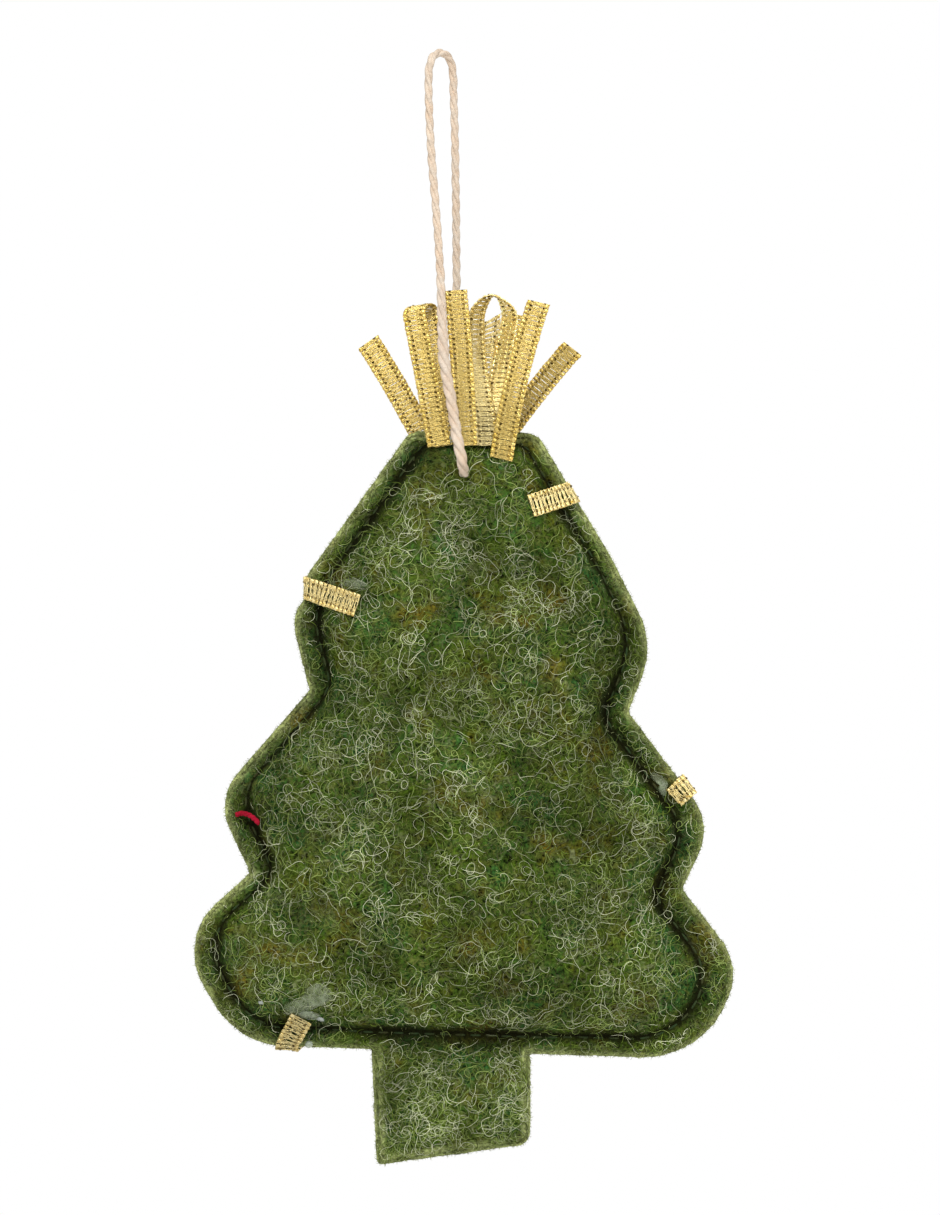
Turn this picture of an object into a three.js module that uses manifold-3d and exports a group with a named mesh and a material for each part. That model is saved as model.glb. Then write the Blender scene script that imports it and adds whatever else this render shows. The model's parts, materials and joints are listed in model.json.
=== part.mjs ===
// A stuffed felt Christmas tree on a cotton hanging loop, with a tuft and two garlands of gold mesh ribbon.
// Millimetres. X runs to the right, Y to the rear and Z up, so the front faces -Y.
// The origin is the inside of the loop's top, where a hook holds the ornament.

import * as THREE from "three";
import { mergeVertices } from "three/addons/utils/BufferGeometryUtils.js";
import Module from "manifold-3d";

const wasm = await Module();
wasm.setup();

// Felt panels and their seam
const feltThickness = 1.5;
const panelGap = 0.3;
const crownRise = 9;
const marginCurl = 1.2;
const marginFlare = 0.15;
const marginReach = 3;
const topMargin = 2.8;
const bottomMargin = 2.8;

// Swell of the stuffing: grid pitch, fullness of the shoulders and softness at the seam
const swellPitch = 0.8;
const swellPower = 0.42;
const swellSoftness = 0.012;
const seamPinch = 1.2;
const swellRounds = 500;

// Outline of the tree, seen from the front and measured from the cord hole. Both sides run downwards.
// round is the corner's radius in the cut edge and seamRound in the seam.
// margin is the seam's distance from the edge that runs on down from the corner.
const leftSide = [
  { x: -7.6, z: 6, round: 1, seamRound: 2, margin: 2.7 },
  { x: -25.1, z: -18.4, round: 12, seamRound: 12, margin: 3.3 },
  { x: -21.9, z: -30.9, round: 0.8, seamRound: 3.5, margin: 2.1 },
  { x: -35.3, z: -46.3, round: 7.4, seamRound: 6.5, margin: 3.3 },
  { x: -30.4, z: -57, round: 0.8, seamRound: 3.5, margin: 2.3 },
  { x: -41.2, z: -66.4, round: 9.3, seamRound: 7.5, margin: 3.2 },
  { x: -32.4, z: -81.6, round: 10.5, seamRound: 9 },
];
const rightSide = [
  { x: 9.6, z: 5.5, round: 4.5, seamRound: 3, margin: 2.4 },
  { x: 27.3, z: -24.3, round: 11.3, seamRound: 11, margin: 3.2 },
  { x: 23.3, z: -34, round: 1, seamRound: 4, margin: 3.5 },
  { x: 35.3, z: -50, round: 7.5, seamRound: 6.5, margin: 3.3 },
  { x: 31, z: -59.3, round: 1, seamRound: 4, margin: 4.1 },
  { x: 40.1, z: -70.3, round: 8, seamRound: 7, margin: 4.4 },
  { x: 33.9, z: -83.5, round: 12.5, seamRound: 10 },
];
const sideSteps = [3, 1, 1, 1, 1, 1];
const tipSteps = 4;
const notchSteps = 2;
const endSteps = 4;

// Trunk tab
const trunkLeft = -13;
const trunkRight = 9.3;
const trunkFootLeft = { x: -12.3, z: -98.5 };
const trunkFootRight = { x: 9.3, z: -95.6 };
const trunkFootRound = 2;
const trunkRoundSteps = 4;

// Seam threads: threadOffset is their share of the way from the seam to the cut edge
const threadDiameter = 0.5;
const threadOffset = 0.2;
const threadReach = 1.2;
const threadSides = 6;

// Clearances
const seatGap = 0.3;
const stuffingGap = 0.3;
const holeClearance = 0.3;

// Gold mesh ribbon
const ribbonWidth = 3.2;
const ribbonThickness = 0.25;

// Tuft, measured from the cord hole in X and Z. The feet are stuck to the felt in layers, nearest first.
const frontFootZ = 3.9;
const rearFootZ = 3.6;
const frontLean = 0.045;
const rearLean = -0.012;
const tuftStrips = {
  tuft_strip_far_left: { row: "rear", layer: 0, foot: [-4.5, rearFootZ], tip: [-13.6, 18.8], bow: 0.3 },
  tuft_strip_centre: { row: "front", layer: 2, foot: [0.1, frontFootZ], tip: [-0.9, 26], bow: 0.2 },
  tuft_strip_inner: { row: "rear", layer: 0, foot: [3, rearFootZ], tip: [3.8, 22.1], bow: -0.3 },
  tuft_strip_right: { row: "front", layer: 2, foot: [5.3, 2], tip: [10.6, 24.4], bow: -0.5 },
  tuft_strip_rear_right: { row: "rear", layer: 1, foot: [4.1, rearFootZ], tip: [7.9, 22.8], bow: -0.3 },
  tuft_strip_far_right: { row: "rear", layer: 2, foot: [4.9, rearFootZ], tip: [15.8, 17.8], bow: -0.3 },
};
const stripSteps = 7;
const leftLoopFeet = { frontX: -3.6, rearX: -3.2 };
const leftLoopTop = { frontX: -7, rearX: -6.1, z: 23.4, spread: 2 };
const leftLoopSlant = 0.15;
const rightLoopRoute = [
  { x: 3.2, z: frontFootZ, layer: 1, setBack: 0 },
  { x: 3, z: 7.5, layer: 1, setBack: 0 },
  { x: 2.2, z: 12.5, layer: 1, setBack: 0.85 },
  { x: 1.7, z: 19, layer: 1, setBack: 1.7 },
  { x: 2, z: 23.2, layer: 1, setBack: 1.7 },
  { x: 4, z: 25.2, layer: 1, setBack: 1.7 },
  { x: 6.3, z: 23, layer: 0, setBack: 1.7 },
  { x: 5.7, z: 18, layer: 0, setBack: 1.7 },
  { x: 4.8, z: 12.5, layer: 0, setBack: 1.2 },
  { x: 4.2, z: 7.5, layer: 0, setBack: 0.1 },
  { x: 4, z: frontFootZ, layer: 0, setBack: 0 },
];
const rightLoopTurn = 0.9;
const rightLoopSteps = 18;
const tuftGlueDiameter = 0.7;
const tuftGlueInset = 3;

// Garland ends: the edge that each crosses and where, then its way and reach on the front
const garlandEnds = {
  upperLeft: { edge: "left", at: -16.3, degrees: -18.4, reach: 8 },
  upperRight: { edge: "right", at: -2.7, degrees: -161.6, reach: 6.3 },
  lowerLeft: { edge: "bottom", at: -25.3, degrees: 60, reach: 4.6 },
  lowerRight: { edge: "right", at: -44.1, degrees: -135, reach: 3 },
};
const garlandSteps = 36;
const garlandEndSteps = 8;

// Dried hot glue at the garland ends: along the end's run from the cut edge, and beside the ribbon's edge
const glueDabs = {
  glue_upper_left: { end: "upperLeft", along: 7.3, beside: 1.5, width: 4, height: 1.6, rise: 0.25 },
  glue_right_mid: { end: "lowerRight", along: 1.3, beside: -1.4, width: 1.2, height: 1.2, rise: 0.25 },
  glue_bottom_left: { end: "lowerLeft", beyond: 3.2, width: 7.4, height: 4, rise: 0.35 },
  glue_bottom_bead: { end: "lowerLeft", along: 2.5, beside: -0.9, width: 1.2, height: 1.2, rise: 0.4 },
};
const glueRim = 0.15;

// Red stitch over the left margin
const stitchZ = -48.8;
const stitchInset = 0.6;
const stitchReach = 4.6;
const stitchDegrees = -16;
const stitchDiameter = 0.7;
const stitchSides = 6;
const stitchSteps = 6;

// Hanging cord
const cordDiameter = 1.2;
const cordSides = 8;
const cordSteps = 60;
const knotDiameter = 3;
const knotLength = 3;
const knotRound = 0.9;
const knotSegments = 14;
const holeSegments = 16;

const { clamp, degToRad, lerp, smoothstep } = THREE.MathUtils;
const v2 = (x, z) => new THREE.Vector2(x, z);
const v3 = (x, y, z) => new THREE.Vector3(x, y, z);
const heading = (degrees) => v2(Math.cos(degToRad(degrees)), Math.sin(degToRad(degrees)));
const quarterTurn = (way) => v2(-way.y, way.x);

// Materials
const finish = (color, roughness, metalness) =>
  new THREE.MeshStandardMaterial({ color, roughness, metalness });
const greenFelt = finish(0x4d5f30, 1, 0);
const fibreFill = finish(0xeeeae0, 1, 0);
const greenThread = finish(0x2b3319, 0.9, 0);
const goldRibbon = finish(0xd9b45c, 0.32, 1);
const cottonCord = finish(0xe9d9c2, 0.95, 0);
const hotGlue = finish(0xaab59a, 0.35, 0);
const redThread = finish(0xb01226, 0.8, 0);

// Joining and cutting
function solidOf(geometry) {
  const bare = geometry.clone();
  bare.deleteAttribute("normal");
  bare.deleteAttribute("uv");
  const merged = mergeVertices(bare, 1e-4);
  const mesh = new wasm.Mesh({
    numProp: 3,
    vertProperties: merged.attributes.position.array,
    triVerts: new Uint32Array(merged.index.array),
  });
  return new wasm.Manifold(mesh);
}

function geometryOf(solid) {
  const mesh = solid.getMesh();
  const geometry = new THREE.BufferGeometry();
  geometry.setAttribute("position", new THREE.BufferAttribute(mesh.vertProperties, 3));
  geometry.setIndex(new THREE.BufferAttribute(mesh.triVerts, 1));
  geometry.computeVertexNormals();
  return geometry;
}

const cut = (geometry, tool) => geometryOf(solidOf(geometry).subtract(solidOf(tool)));

function meshGeometry(points, triangles) {
  const geometry = new THREE.BufferGeometry().setFromPoints(points);
  geometry.setIndex(triangles);
  geometry.computeVertexNormals();
  return geometry;
}

// Outline with rounded corners
function cornerArc(before, corner, after, radius, steps) {
  const toBefore = before.clone().sub(corner).normalize();
  const toAfter = after.clone().sub(corner).normalize();
  const halfAngle = Math.acos(toBefore.dot(toAfter)) / 2;
  const middle = toBefore.clone().add(toAfter).normalize();
  const centre = corner.clone().addScaledVector(middle, radius / Math.sin(halfAngle));
  const reach = radius / Math.tan(halfAngle);
  const start = corner.clone().addScaledVector(toBefore, reach).sub(centre);
  const end = corner.clone().addScaledVector(toAfter, reach).sub(centre);
  const turn = Math.atan2(start.cross(end), start.dot(end));
  const points = [];
  for (let i = 0; i <= steps; i++) {
    points.push(start.clone().rotateAround(v2(0, 0), (turn * i) / steps).add(centre));
  }
  return points;
}

function between(a, b, steps) {
  const points = [];
  for (let i = 1; i <= steps; i++) points.push(a.clone().lerp(b, i / (steps + 1)));
  return points;
}

// The four sides of an outline as point lists. Between its two ends, a side has tips and notches in turn.
function outlineSides(left, right, radiusName) {
  const last = left.length - 1;
  const arcs = (side, other, sizes) =>
    side.map((corner, i) => {
      const before = i === 0 ? other[0] : side[i - 1];
      const after = i === last ? other[last] : side[i + 1];
      const isEnd = i === 0 || i === last;
      const innerSteps = i % 2 === 1 ? tipSteps : notchSteps;
      return cornerArc(before, corner, after, sizes[i][radiusName], isEnd ? endSteps : innerSteps);
    });
  const leftArcs = arcs(left, right, leftSide);
  const rightArcs = arcs(right, left, rightSide);
  const half = endSteps / 2;
  const sideRun = (sideArcs) => {
    const points = sideArcs[0].slice(half);
    for (let i = 1; i <= last; i++) {
      points.push(...between(points.at(-1), sideArcs[i][0], sideSteps[i - 1]));
      points.push(...(i === last ? sideArcs[i].slice(0, half + 1) : sideArcs[i]));
    }
    return points;
  };
  const top = [
    ...leftArcs[0].slice(0, half + 1).reverse(),
    ...between(leftArcs[0][0], rightArcs[0][0], trunkXs.length),
    ...rightArcs[0].slice(0, half + 1),
  ];
  const bottomStart = leftArcs[last].at(-1);
  const bottomEnd = rightArcs[last].at(-1);
  const bottomSpan = bottomEnd.x - bottomStart.x;
  const bottom = [
    ...leftArcs[last].slice(half),
    ...trunkXs.map((x) => bottomStart.clone().lerp(bottomEnd, (x - bottomStart.x) / bottomSpan)),
    ...rightArcs[last].slice(half).reverse(),
  ];
  return { left: sideRun(leftArcs), right: sideRun(rightArcs), top, bottom };
}

// Seam corners lie where the edges, each moved in by its own margin, cross
function seamCorners(left, right) {
  const ring = [...left, ...right.toReversed()];
  const margins = [
    ...leftSide.slice(0, -1).map((c) => c.margin),
    bottomMargin,
    ...rightSide.slice(0, -1).map((c) => c.margin).toReversed(),
    topMargin,
  ];
  const edges = ring.map((a, i) => {
    const along = ring[(i + 1) % ring.length].clone().sub(a).normalize();
    return { from: a.clone().addScaledVector(quarterTurn(along), margins[i]), along };
  });
  const moved = ring.map((_, i) => {
    const one = edges[(i + ring.length - 1) % ring.length];
    const two = edges[i];
    const apart = two.from.clone().sub(one.from);
    return one.from.clone().addScaledVector(one.along, apart.cross(two.along) / one.along.cross(two.along));
  });
  return { left: moved.slice(0, left.length), right: moved.slice(left.length).toReversed() };
}

const cutLeft = leftSide.map((c) => v2(c.x, c.z));
const cutRight = rightSide.map((c) => v2(c.x, c.z));
const seamEnds = seamCorners(cutLeft, cutRight);
const trunkXs = [trunkLeft, (trunkLeft + trunkRight) / 2, trunkRight];
const cutSides = outlineSides(cutLeft, cutRight, "round");
const seamSides = outlineSides(seamEnds.left, seamEnds.right, "seamRound");
const rows = seamSides.left.length - 1;
const columns = seamSides.top.length - 1;

// One loop round the outline: down the left side, along the bottom, up the right side, back along the top
function loopOf(sides) {
  return [
    ...sides.left,
    ...sides.bottom.slice(1),
    ...sides.right.toReversed().slice(1),
    ...sides.top.toReversed().slice(1, -1),
  ];
}
const cutLoop = loopOf(cutSides);
const seamLoop = loopOf(seamSides);

// Distance from the seam, and whether a point lies inside it
function seamDistance(x, z) {
  let nearest = Infinity;
  seamLoop.forEach((a, i) => {
    const b = seamLoop[(i + 1) % seamLoop.length];
    const ex = b.x - a.x;
    const ez = b.y - a.y;
    const share = clamp(((x - a.x) * ex + (z - a.y) * ez) / (ex * ex + ez * ez), 0, 1);
    nearest = Math.min(nearest, Math.hypot(x - a.x - share * ex, z - a.y - share * ez));
  });
  return nearest;
}

function insideSeam(x, z) {
  let inside = false;
  seamLoop.forEach((a, i) => {
    const b = seamLoop[(i + 1) % seamLoop.length];
    const crosses = a.y > z !== b.y > z;
    if (crosses && x < a.x + ((z - a.y) / (b.y - a.y)) * (b.x - a.x)) inside = !inside;
  });
  return inside;
}

// The stuffing swells the felt as even pressure swells a film that is held along the seam
function relaxedFilm() {
  const box = new THREE.Box2().setFromPoints(seamLoop);
  const across = Math.ceil((box.max.x - box.min.x) / swellPitch) + 2;
  const up = Math.ceil((box.max.y - box.min.y) / swellPitch) + 2;
  const held = [];
  for (let k = 0; k < across * up; k++) {
    const x = box.min.x + ((k % across) - 0.5) * swellPitch;
    const z = box.min.y + (Math.floor(k / across) - 0.5) * swellPitch;
    held.push(!insideSeam(x, z));
  }
  const film = new Float64Array(across * up);
  const overRelaxation = 1.9;
  for (let round = 0; round < swellRounds; round++) {
    for (let k = 0; k < film.length; k++) {
      if (held[k]) continue;
      const even = (film[k - 1] + film[k + 1] + film[k - across] + film[k + across] + 1) / 4;
      film[k] += overRelaxation * (even - film[k]);
    }
  }
  const highest = film.reduce((a, b) => Math.max(a, b), 0);
  return (x, z) => {
    const gx = (x - box.min.x) / swellPitch + 0.5;
    const gz = (z - box.min.y) / swellPitch + 0.5;
    const column = clamp(Math.floor(gx), 0, across - 2);
    const row = clamp(Math.floor(gz), 0, up - 2);
    const k = row * across + column;
    const low = lerp(film[k], film[k + 1], gx - column);
    const high = lerp(film[k + across], film[k + across + 1], gx - column);
    return lerp(low, high, gz - row) / highest;
  };
}
const film = relaxedFilm();

function swell(x, z) {
  if (!insideSeam(x, z)) return 0;
  const base = swellSoftness ** swellPower;
  const full = (1 + swellSoftness) ** swellPower - base;
  const pinched = film(x, z) * Math.min(seamDistance(x, z) / seamPinch, 1);
  return (crownRise * ((pinched + swellSoftness) ** swellPower - base)) / full;
}

// The margin outside the seam curls to the front, and its two layers stand slightly apart
function marginShare(x, z) {
  if (insideSeam(x, z)) return 0;
  return smoothstep(seamDistance(x, z), 0, marginReach);
}

function frontFace(x, z) {
  const share = marginShare(x, z);
  return -(panelGap / 2 + feltThickness + swell(x, z) + share * (marginCurl + marginFlare));
}

function rearFace(x, z) {
  const share = marginShare(x, z);
  return panelGap / 2 + feltThickness + swell(x, z) - share * (marginCurl - marginFlare);
}

// Flat layouts, as points in X and Z with triangles that face the front
function seamPatch(firstRow, lastRow, firstColumn, lastColumn) {
  const { left, right, top, bottom } = seamSides;
  const points = [];
  for (let i = firstRow; i <= lastRow; i++) {
    for (let j = firstColumn; j <= lastColumn; j++) {
      const u = (1 - Math.cos((Math.PI * j) / columns)) / 2;
      const v = i / rows;
      const sideways = left[i].clone().lerp(right[i], u);
      const endways = top[j].clone().lerp(bottom[j], v);
      const upper = top[0].clone().lerp(top[columns], u);
      const lower = bottom[0].clone().lerp(bottom[columns], u);
      points.push(sideways.add(endways).sub(upper.lerp(lower, v)));
    }
  }
  const width = lastColumn - firstColumn + 1;
  const triangles = [];
  for (let i = 0; i < lastRow - firstRow; i++) {
    for (let j = 0; j < width - 1; j++) {
      const a = i * width + j;
      triangles.push(a, a + width, a + 1, a + 1, a + width, a + width + 1);
    }
  }
  return { points, triangles };
}

function panelLayout() {
  const layout = seamPatch(0, rows, 0, columns);
  const width = columns + 1;
  const rim = [];
  for (let i = 0; i <= rows; i++) rim.push(i * width);
  for (let j = 1; j <= columns; j++) rim.push(rows * width + j);
  for (let i = rows - 1; i >= 0; i--) rim.push(i * width + columns);
  for (let j = columns - 1; j >= 1; j--) rim.push(j);
  let inner = rim;
  const marginRings = [threadOffset, 0.6, 1];
  marginRings.forEach((share) => {
    const outer = cutLoop.map((p, i) => {
      layout.points.push(seamLoop[i].clone().lerp(p, share));
      return layout.points.length - 1;
    });
    outer.forEach((a, i) => {
      const next = (i + 1) % outer.length;
      layout.triangles.push(a, outer[next], inner[i], inner[i], outer[next], inner[next]);
    });
    inner = outer;
  });
  addTrunk(layout, inner);
  return layout;
}

function addTrunk(layout, cutRing) {
  const firstRoot = rows + endSteps / 2 + 1;
  const roots = trunkXs.map((_, i) => cutRing[firstRoot + i]);
  const footLeft = v2(trunkFootLeft.x, trunkFootLeft.z);
  const footRight = v2(trunkFootRight.x, trunkFootRight.z);
  const rootRight = layout.points[roots.at(-1)];
  const foot = [footLeft, ...cornerArc(footLeft, footRight, rootRight, trunkFootRound, trunkRoundSteps)];
  const ring = [...roots.toReversed()];
  foot.forEach((p) => {
    layout.points.push(p);
    ring.push(layout.points.length - 1);
  });
  const contour = ring.map((k) => layout.points[k]);
  const triangles = THREE.ShapeUtils.triangulateShape(contour, []);
  triangles.forEach((corners) => layout.triangles.push(...corners.map((k) => ring[k])));
}

// A closed sheet over a flat layout, between two faces given as Y
function sheetSolid({ points, triangles }, nearFace, farFace) {
  const count = points.length;
  const near = points.map((p) => v3(p.x, nearFace(p.x, p.y), p.y));
  const far = points.map((p) => v3(p.x, farFace(p.x, p.y), p.y));
  const faces = [...triangles];
  const open = new Map();
  for (let i = 0; i < triangles.length; i += 3) {
    const [a, b, c] = triangles.slice(i, i + 3);
    faces.push(a + count, c + count, b + count);
    [[a, b], [b, c], [c, a]].forEach(([from, to]) => {
      if (!open.delete(to + "_" + from)) open.set(from + "_" + to, [from, to]);
    });
  }
  open.forEach(([a, b]) => faces.push(b, a, a + count, b, a + count, b + count));
  return meshGeometry([...near, ...far], faces);
}

// A flat strip along stations, each with a centre, a direction across and a direction out of its face
function ribbonSolid(stations) {
  const points = [];
  stations.forEach(({ centre, across, out }) => {
    [[-1, -1], [1, -1], [1, 1], [-1, 1]].forEach(([side, face]) => {
      const corner = centre.clone().addScaledVector(across, (side * ribbonWidth) / 2);
      points.push(corner.addScaledVector(out, (face * ribbonThickness) / 2));
    });
  });
  return closedLoft(points, stations.length, 4);
}

function closedLoft(points, rings, sides) {
  const faces = [];
  for (let i = 0; i < rings - 1; i++) {
    for (let k = 0; k < sides; k++) {
      const a = i * sides + k;
      const b = i * sides + ((k + 1) % sides);
      faces.push(a, b, a + sides, b, b + sides, a + sides);
    }
  }
  const last = (rings - 1) * sides;
  for (let k = 1; k < sides - 1; k++) {
    faces.push(0, k + 1, k, last, last + k, last + k + 1);
  }
  return meshGeometry(points, faces);
}

// Stations along a run of points. Each run says which way its strip lies across.
function stationsAlong(points, acrossAt) {
  const last = points.length - 1;
  return points.map((centre, i) => {
    const along = points[Math.min(i + 1, last)].clone().sub(points[Math.max(i - 1, 0)]).normalize();
    const across = acrossAt(i / last);
    across.addScaledVector(along, -across.dot(along)).normalize();
    return { centre, across, out: along.clone().cross(across).normalize() };
  });
}

// Felt pieces
const frontHole = frontFace(0, 0);
const rearHole = rearFace(0, 0);

function holeTool() {
  const radius = cordDiameter / 2 + holeClearance;
  const length = 4 * (rearHole - frontHole);
  return new THREE.CylinderGeometry(radius, radius, length, holeSegments);
}

const layout = panelLayout();
const frontPanel = cut(
  sheetSolid(layout, frontFace, (x, z) => frontFace(x, z) + feltThickness),
  holeTool(),
);
const rearPanel = cut(
  sheetSolid(layout, (x, z) => rearFace(x, z) - feltThickness, rearFace),
  holeTool(),
);

// The cord's inner stretch and its knot turn as one round piece in the stuffing
function knotProfile(clearance, halfLength) {
  const cord = cordDiameter / 2 + clearance;
  const knot = knotDiameter / 2 + clearance;
  const end = knotLength / 2 + clearance;
  return [
    v2(0, -halfLength),
    v2(cord, -halfLength),
    v2(cord, -end),
    v2(knot - knotRound, -end),
    v2(knot, -end + knotRound),
    v2(knot, end - knotRound),
    v2(knot - knotRound, end),
    v2(cord, end),
    v2(cord, halfLength),
    v2(0, halfLength),
  ];
}
const cordKnot = new THREE.LatheGeometry(knotProfile(0, (rearHole - frontHole) / 2), knotSegments);
cordKnot.translate(0, (rearHole + frontHole) / 2, 0);

const pocketProfile = knotProfile(holeClearance, 2 * (rearHole - frontHole));
const pocket = new THREE.LatheGeometry(pocketProfile, knotSegments);
const stuffing = cut(
  sheetSolid(
    seamPatch(1, rows - 1, 1, columns - 1),
    (x, z) => frontFace(x, z) + feltThickness + stuffingGap,
    (x, z) => rearFace(x, z) - feltThickness - stuffingGap,
  ),
  pocket,
);

// Seam threads lie in the grooves, just outside the stuffing's edge
function threadRing(face, side) {
  const radius = threadDiameter / 2;
  const ring = seamLoop.map((p, i) => p.clone().lerp(cutLoop[i], threadOffset));
  const points = [];
  const faces = [];
  ring.forEach((p, i) => {
    const before = ring[(i + ring.length - 1) % ring.length];
    const along = ring[(i + 1) % ring.length].clone().sub(before).normalize();
    const y = face(p.x, p.y) + side * (seatGap + radius);
    for (let k = 0; k < threadSides; k++) {
      const angle = (2 * Math.PI * k) / threadSides;
      const sideways = radius * Math.cos(angle);
      points.push(v3(p.x - along.y * sideways, y + radius * Math.sin(angle), p.y + along.x * sideways));
      const a = i * threadSides + k;
      const b = i * threadSides + ((k + 1) % threadSides);
      const next = ((i + 1) % ring.length) * threadSides - i * threadSides;
      faces.push(a, a + next, b, b, a + next, b + next);
    }
  });
  return meshGeometry(points, faces);
}

// What crosses the groove clears the thread in it
const overThread = (face, side) => (x, z) =>
  face(x, z) + (seamDistance(x, z) < threadReach ? side * (seatGap + threadDiameter) : 0);
const coveredFront = overThread(frontFace, -1);
const coveredRear = overThread(rearFace, 1);

// Tuft. A bead of hot glue above the groove holds the feet on each side.
const layerPitch = ribbonThickness + seatGap;
const tuftTopZ = cutLeft[0].y;
const grooveTopZ = seamEnds.left[0].y + topMargin * threadOffset + threadDiameter;
const tuftGlueZ = grooveTopZ + seatGap + tuftGlueDiameter / 2;

function tuftGlue(face, side) {
  const radius = tuftGlueDiameter / 2;
  const from = seamEnds.left[0].x + tuftGlueInset;
  const to = seamEnds.right[0].x - tuftGlueInset;
  const bead = new THREE.CapsuleGeometry(radius, to - from, 3, 8, 1);
  bead.rotateZ(Math.PI / 2);
  const y = face((from + to) / 2, tuftGlueZ + radius) + side * (seatGap + radius);
  bead.translate((from + to) / 2, y, tuftGlueZ);
  return bead;
}
const frontGlue = tuftGlue(frontFace, -1);
const rearGlue = tuftGlue(rearFace, 1);

// The plane in which the lowest layer of feet lies, clear of the felt, the thread and the glue
function footPlane(face, side, lowZ, glue) {
  glue.computeBoundingBox();
  let reach = side < 0 ? -glue.boundingBox.min.y : glue.boundingBox.max.y;
  const samples = 12;
  for (let i = 0; i <= samples; i++) {
    for (let j = 0; j <= samples; j++) {
      const x = lerp(cutLeft[0].x, cutRight[0].x, j / samples);
      reach = Math.max(reach, side * face(x, lerp(lowZ, tuftTopZ, i / samples)));
    }
  }
  return side * (reach + seatGap + ribbonThickness / 2);
}
const frontFoot = footPlane(coveredFront, -1, frontFootZ, frontGlue);
const rearFoot = footPlane(coveredRear, 1, rearFootZ, rearGlue);
const frontLayer = (layer, z) => frontFoot - layer * layerPitch + frontLean * (z - frontFootZ);
const rearLayer = (layer, z) => rearFoot + layer * layerPitch + rearLean * (z - rearFootZ);
const layerY = { front: frontLayer, rear: rearLayer };

// A strip from its foot to its cut tip, bowed a little to one side
function tuftStrip({ row, layer, foot, tip, bow }) {
  const low = v2(...foot);
  const high = v2(...tip);
  const side = quarterTurn(low.clone().sub(high)).normalize();
  const points = [];
  for (let i = 0; i <= stripSteps; i++) {
    const share = i / stripSteps;
    const p = low.clone().lerp(high, share).addScaledVector(side, 4 * bow * share * (1 - share));
    points.push(v3(p.x, layerY[row](layer, p.y), p.y));
  }
  return ribbonSolid(stationsAlong(points, () => v3(side.x, 0, side.y)));
}

// The left loop: up the front leg, over a round fold and down the rear leg
function leftLoop() {
  const { frontX, rearX, z, spread } = leftLoopTop;
  const steps = 8;
  const foldSteps = 5;
  const leg = (footX, topX, layer, share, setBack) => {
    const height = lerp(frontFootZ, z, share);
    return v3(lerp(footX, topX, share), frontLayer(layer, height) + setBack * share ** 1.5, height);
  };
  const points = [];
  for (let i = 0; i <= steps; i++) points.push(leg(leftLoopFeet.frontX, frontX, 1, i / steps, 0));
  const frontTop = points.at(-1).clone();
  const rearTop = leg(leftLoopFeet.rearX, rearX, 0, 1, spread);
  const foldRadius = (rearTop.y - frontTop.y) / 2;
  for (let i = 1; i < foldSteps; i++) {
    const angle = (Math.PI * i) / foldSteps;
    const p = frontTop.clone().lerp(rearTop, (1 - Math.cos(angle)) / 2);
    points.push(p.setZ(p.z + foldRadius * Math.sin(angle)));
  }
  for (let i = steps; i >= 0; i--) points.push(leg(leftLoopFeet.rearX, rearX, 0, i / steps, spread));
  return ribbonSolid(stationsAlong(points, () => v3(1, 0, leftLoopSlant)));
}

// The right loop stands open to the front. Its ribbon lies flat at the feet and turns at the arch.
function rightLoop() {
  const route = rightLoopRoute.map(({ x, z, layer, setBack }) => v3(x, frontLayer(layer, z) + setBack, z));
  const points = new THREE.CatmullRomCurve3(route).getPoints(rightLoopSteps);
  const acrossAt = (share) => {
    const turn = rightLoopTurn * Math.sin(Math.PI * share) ** 1.5;
    const flat = Math.cos(turn) * lerp(1, -1, smoothstep(share, 0.4, 0.62));
    return v3(flat, Math.sin(turn), 0);
  };
  return ribbonSolid(stationsAlong(points, acrossAt));
}

// Garlands. A taut run takes the straightest line over the felt, so it bridges the seam's groove.
function tautRun(from, to, face, side, width, steps) {
  const along = to.clone().sub(from).normalize();
  const halfAcross = quarterTurn(along).multiplyScalar(width / 2);
  const heights = [];
  for (let i = 0; i <= steps; i++) {
    const p = from.clone().lerp(to, i / steps);
    const edges = [-1, 0, 1].map((k) => p.clone().addScaledVector(halfAcross, k));
    heights.push(Math.max(...edges.map((q) => side * face(q.x, q.y))));
  }
  const bridged = heights.map((height, i) => {
    let highest = height;
    for (let a = 0; a < i; a++) {
      for (let b = i + 1; b <= steps; b++) {
        highest = Math.max(highest, lerp(heights[a], heights[b], (i - a) / (b - a)));
      }
    }
    return highest;
  });
  return bridged.map((height, i) => {
    const p = from.clone().lerp(to, i / steps);
    return v3(p.x, side * height, p.y);
  });
}

// The point and outward direction of the cut edge at a height on a side, or at an X along the bottom
function edgeAt(name, value) {
  const run = cutSides[name];
  const key = name === "bottom" ? "x" : "y";
  const i = run.findIndex((p, k) => k > 0 && (run[k - 1][key] - value) * (p[key] - value) <= 0);
  const share = (value - run[i - 1][key]) / (run[i][key] - run[i - 1][key]);
  const along = run[i].clone().sub(run[i - 1]).normalize();
  const outward = name === "right" ? quarterTurn(along) : quarterTurn(along).negate();
  return { point: run[i - 1].clone().lerp(run[i], share), outward };
}

const ribbonSeat = seatGap + ribbonThickness / 2;

function placedEnd({ edge, at, degrees, reach }) {
  return { ...edgeAt(edge, at), inward: heading(degrees), reach };
}

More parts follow.
